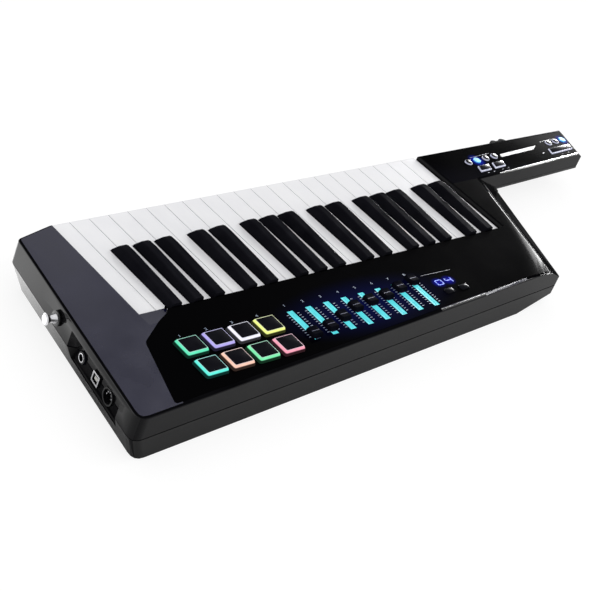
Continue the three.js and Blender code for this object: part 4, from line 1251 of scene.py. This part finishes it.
def dark_tops(rounds, lit, bars, length):
    """Skins on a group of neck buttons, but not on the lit one, as one mesh."""
    top = neck_matrix() @ Matrix.Translation((0, 0, BUTTON_TOP - DECK + LIFT))
    tops = []
    for index, s in enumerate(rounds):
        if index != lit:
            cap = disc(ROUND_RADIUS - ROUND_TOP_INSET, 0, SKIN_THICKNESS, NECK_SKIN_EDGE)
            place = (s + ROUND_TOP_SHIFT[0], ROUND_ROW + ROUND_TOP_SHIFT[1], 0)
            tops.append(set_down(cap, top @ Matrix.Translation(place)))
    for s in bars:
        corners = slanted_corners(s, length, *BAR_MARGINS)
        cap = outline_plate(corners, 0, SKIN_THICKNESS, NECK_SKIN_EDGE, BAR_CORNER)
        tops.append(set_down(cap, top))
    return joined(tops)


class KEYTAR_OT_neck(Operator):
    """Light the neck buttons, lay their dark tops and print the lines beside them"""

    bl_idname = "keytar.neck"
    bl_label = "Neck"

    def execute(self, context):
        paint(button_silicone(), "neck_keypad_inner", "neck_keypad_outer")
        paint(ribbon_film(), "touch_ribbon")
        paint(wheel_plastic(), "pitch_wheel")
        skin = dark_button_rubber()
        inner = dark_tops(INNER_ROUNDS, LIT_INNER, INNER_BARS, INNER_BAR_LENGTH)
        complete(inner, "neck_button_tops_inner", "neck_buttons_inner", skin)
        outer = dark_tops(OUTER_ROUNDS, LIT_OUTER, (OUTER_BAR,), OUTER_BAR_LENGTH)
        complete(outer, "neck_button_tops_outer", "neck_buttons_outer", skin)
        grey = screen_ink("neck_screen_ink", "#7b7d8c")
        level = neck_matrix() @ Matrix.Translation((0, 0, LIFT))
        marks = []
        for s, t, length in NECK_LINES:
            line = plate(length, LINE_WIDTH, 0, INK, 0)
            marks.append(set_down(line, level @ Matrix.Translation((s, t, 0))))
        for s in SPECKS:
            speck = plate(*SPECK_SIZE, 0, INK, 0)
            marks.append(set_down(speck, level @ Matrix.Translation((s, SPECK_ROW, 0))))
        complete(joined(marks), "neck_marks", "housing", grey)
        lens = disc(LENS_RADIUS, 0, LENS_HEIGHT, LENS_EDGE, ROUND_SIDES // 2)
        set_down(lens, level @ Matrix.Translation((*LENS_PLACE, 0)))
        smoke = screen_ink("smoked_lamp_lens", "#3d3d49")
        complete(lens, "neck_lamp", "housing", smoke)
        return {"FINISHED"}


def round_pins():
    """The pins of the round socket, on an arc about its middle, as one mesh."""
    pins = []
    for step in range(PIN_COUNT):
        turn = math.radians(step * PIN_STEP)
        pin = disc(PIN_RADIUS, SOCKET_BACK, PIN_FRONT, PIN_EDGE, ROUND_SIDES // 3)
        spot = Vector((math.cos(turn), math.sin(turn), 0)) * PIN_CIRCLE
        pins.append(set_down(pin, Matrix.Translation(spot)))
    return joined(pins)


class KEYTAR_OT_hardware(Operator):
    """Finish the strap buttons and sockets, with the collar, nut, rims, tongue and pins"""

    bl_idname = "keytar.hardware"
    bl_label = "Hardware"

    def execute(self, context):
        steel = plated_steel()
        for name in ("strap_button_left", "strap_button_neck"):
            smooth_copy(name, steel, BUTTON_BEND)
        paint(board_and_sockets(), "main_board")
        collar = ring((sizes().collar_radius, COLLAR_BORE), STAND_OFF, COLLAR_HEIGHT, COLLAR_EDGE)
        set_down(collar, wall_matrix(*STRAP_PLACE))
        complete(collar, "strap_collar_left", "housing", collar_nylon())
        nut = ring(NUT_RADII, STAND_OFF, NUT_HEIGHT, NUT_EDGE, 6)
        set_down(nut, wall_matrix(JACK_Y, SOCKET_Z, POCKET_DEPTH))
        complete(nut, "jack_nut", "housing", fader_plastic(), NUT_BEND)
        jack_rim = ring(JACK_RIM_RADII, LIFT, JACK_RIM_HEIGHT, JACK_RIM_EDGE)
        shell = frame_plate(*SQUARE_SIZE, SQUARE_RIM, LIFT, SQUARE_RIM_HEIGHT, SQUARE_RIM_EDGE)
        tongue = plate(*TONGUE_SIZE, SOCKET_BACK, TONGUE_FRONT, TONGUE_EDGE, TONGUE_CORNER)
        fittings = (
            (jack_rim, JACK_Y, "jack_rim", steel, "nickel"),
            (shell, SQUARE_Y, "square_socket_shell", steel, "nickel"),
            (tongue, SQUARE_Y, "square_socket_tongue", tongue_plastic(), "button_rubber"),
            (round_pins(), ROUND_Y, "round_socket_pins", steel, "nickel"),
        )
        for piece, y, name, material, slot in fittings:
            set_down(piece, wall_matrix(y, SOCKET_Z, POCKET_DEPTH - SOCKET_PROUD))
            complete(piece, name, "housing", material)
        return {"FINISHED"}


def add_floor():
    clear_selection()
    bpy.ops.mesh.primitive_plane_add(size=FLOOR_SIZE, location=(0, 0, -FLOOR_DROP))
    floor = bpy.context.object
    floor.name = "studio_floor"
    bpy.ops.object.transform_apply(location=True)
    material, place = start_material("matt_white_paper")
    tree = material.node_tree
    mottle = spread(noise(place, PAPER_PATCH, 2), 0.98, 1.0)
    sheet = add_node(tree, "ShaderNodeBsdfDiffuse", {"Color": shaded("#f6f6f6", mottle)})
    white = add_node(tree, "ShaderNodeEmission", {"Color": (1, 1, 1, 1), "Strength": FLOOR_WHITE})
    path = add_node(tree, "ShaderNodeLightPath")
    share = calculate("MULTIPLY", path.outputs["Is Camera Ray"], FLOOR_WHITE_SHARE)
    mixed = add_node(tree, "ShaderNodeMixShader", {
        0: share, 1: sheet.outputs["BSDF"], 2: white.outputs["Emission"],
    })
    strength = calculate("MULTIPLY", path.outputs["Is Glossy Ray"], light_pool(place))
    pool = add_node(tree, "ShaderNodeEmission", {"Color": (1, 1, 1, 1), "Strength": strength})
    whole = add_node(tree, "ShaderNodeAddShader", {
        0: mixed.outputs["Shader"], 1: pool.outputs["Emission"],
    })
    add_node(tree, "ShaderNodeOutputMaterial", {"Surface": whole.outputs["Shader"]})
    floor.data.materials.append(material)


def light_pool(place):
    """A pool of light on the floor beside the far end of the left wall, where gloss shows it."""
    far = [at(0, y, 0).y for y in POOL_Y]
    right = [at(x, 0, 0).x for x in POOL_X]
    rise = spread(axis_of(place, "Y"), 0, POOL_STRENGTH, *far, interpolation_type="SMOOTHSTEP")
    side = spread(axis_of(place, "X"), 1, 0, *right)
    return calculate("MULTIPLY", rise, side)


def add_world(scene):
    """White all round: full for the camera and in gloss, a little less on matt surfaces."""
    world = bpy.data.worlds.new("white_studio")
    world.use_nodes = True
    tree = world.node_tree
    tree.nodes.clear()
    path = add_node(tree, "ShaderNodeLightPath")
    seen = calculate("MAXIMUM", path.outputs["Is Camera Ray"], path.outputs["Is Transmission Ray"])
    seen = calculate("MAXIMUM", seen, path.outputs["Is Glossy Ray"])
    light = add_node(tree, "ShaderNodeBackground", {
        "Color": (1, 1, 1, 1), "Strength": spread(seen, WORLD_MATT_SHARE, 1, 0, 1),
    })
    add_node(tree, "ShaderNodeOutputWorld", {"Surface": light.outputs["Background"]})
    scene.world = world


def add_lamp(scene, name, direction, distance, size, power, lights_matt):
    lamp = bpy.data.lights.new(name, "AREA")
    lamp.shape = "RECTANGLE"
    lamp.size, lamp.size_y = size
    lamp.energy = power
    holder = bpy.data.objects.new(name, lamp)
    scene.collection.objects.link(holder)
    away = Vector(direction).normalized()
    holder.location = (CAD_BOX[0] + CAD_BOX[1]) / 2 + away * distance
    holder.rotation_mode = "QUATERNION"
    holder.rotation_quaternion = away.to_track_quat("Z", "Y")
    holder.visible_camera = False
    holder.visible_diffuse = lights_matt
    holder.visible_glossy = not lights_matt


def add_camera(scene):
    camera = bpy.data.cameras.new("photo_camera")
    camera.sensor_fit = "HORIZONTAL"
    camera.sensor_width = SENSOR_WIDTH
    camera.lens = LENS
    camera.clip_start = CLIP_START
    holder = bpy.data.objects.new("photo_camera", camera)
    scene.collection.objects.link(holder)
    axes = (CAMERA_RIGHT, [-part for part in CAMERA_DOWN], [-part for part in CAMERA_FORWARD])
    turn = Matrix(axes).transposed().to_4x4()
    holder.matrix_world = Matrix.Translation(at(*CAMERA_PLACE)) @ turn
    scene.camera = holder


class KEYTAR_OT_stage(Operator):
    """Set the floor, the light and the camera"""

    bl_idname = "keytar.stage"
    bl_label = "Stage"

    def execute(self, context):
        scene = context.scene
        scene.view_settings.view_transform = "Standard"
        add_floor()
        add_world(scene)
        for lamp in LAMPS:
            add_lamp(scene, *lamp)
        add_camera(scene)
        return {"FINISHED"}


OPERATORS = (
    KEYTAR_OT_housing,
    KEYTAR_OT_keys,
    KEYTAR_OT_pads,
    KEYTAR_OT_faders,
    KEYTAR_OT_panel_marks,
    KEYTAR_OT_display,
    KEYTAR_OT_neck,
    KEYTAR_OT_hardware,
    KEYTAR_OT_stage,
)


class KEYTAR_PT_looks(Panel):
    """Lists the settings and the steps"""

    bl_label = "Keytar"
    bl_idname = "KEYTAR_PT_looks"
    bl_space_type = "VIEW_3D"
    bl_region_type = "UI"
    bl_category = "Keytar"

    def draw(self, context):
        layout = self.layout
        for group in (context.scene.keytar_sizes, context.scene.keytar_colours):
            for name in group.__annotations__:
                layout.prop(group, name)
        for operator in OPERATORS:
            layout.operator(operator.bl_idname)


CLASSES = (KeytarSizes, KeytarColours, *OPERATORS, KEYTAR_PT_looks)


def register():
    for item in CLASSES:
        register_class(item)
    bpy.types.Scene.keytar_sizes = PointerProperty(type=KeytarSizes)
    bpy.types.Scene.keytar_colours = PointerProperty(type=KeytarColours)


def unregister():
    del bpy.types.Scene.keytar_colours
    del bpy.types.Scene.keytar_sizes
    for item in reversed(CLASSES):
        unregister_class(item)


def main():
    register()
    bpy.ops.keytar.housing()
    bpy.ops.keytar.keys()
    bpy.ops.keytar.pads()
    bpy.ops.keytar.faders()
    bpy.ops.keytar.panel_marks()
    bpy.ops.keytar.display()
    bpy.ops.keytar.neck()
    bpy.ops.keytar.hardware()
    bpy.ops.keytar.stage()


if __name__ == "__main__":
    main()
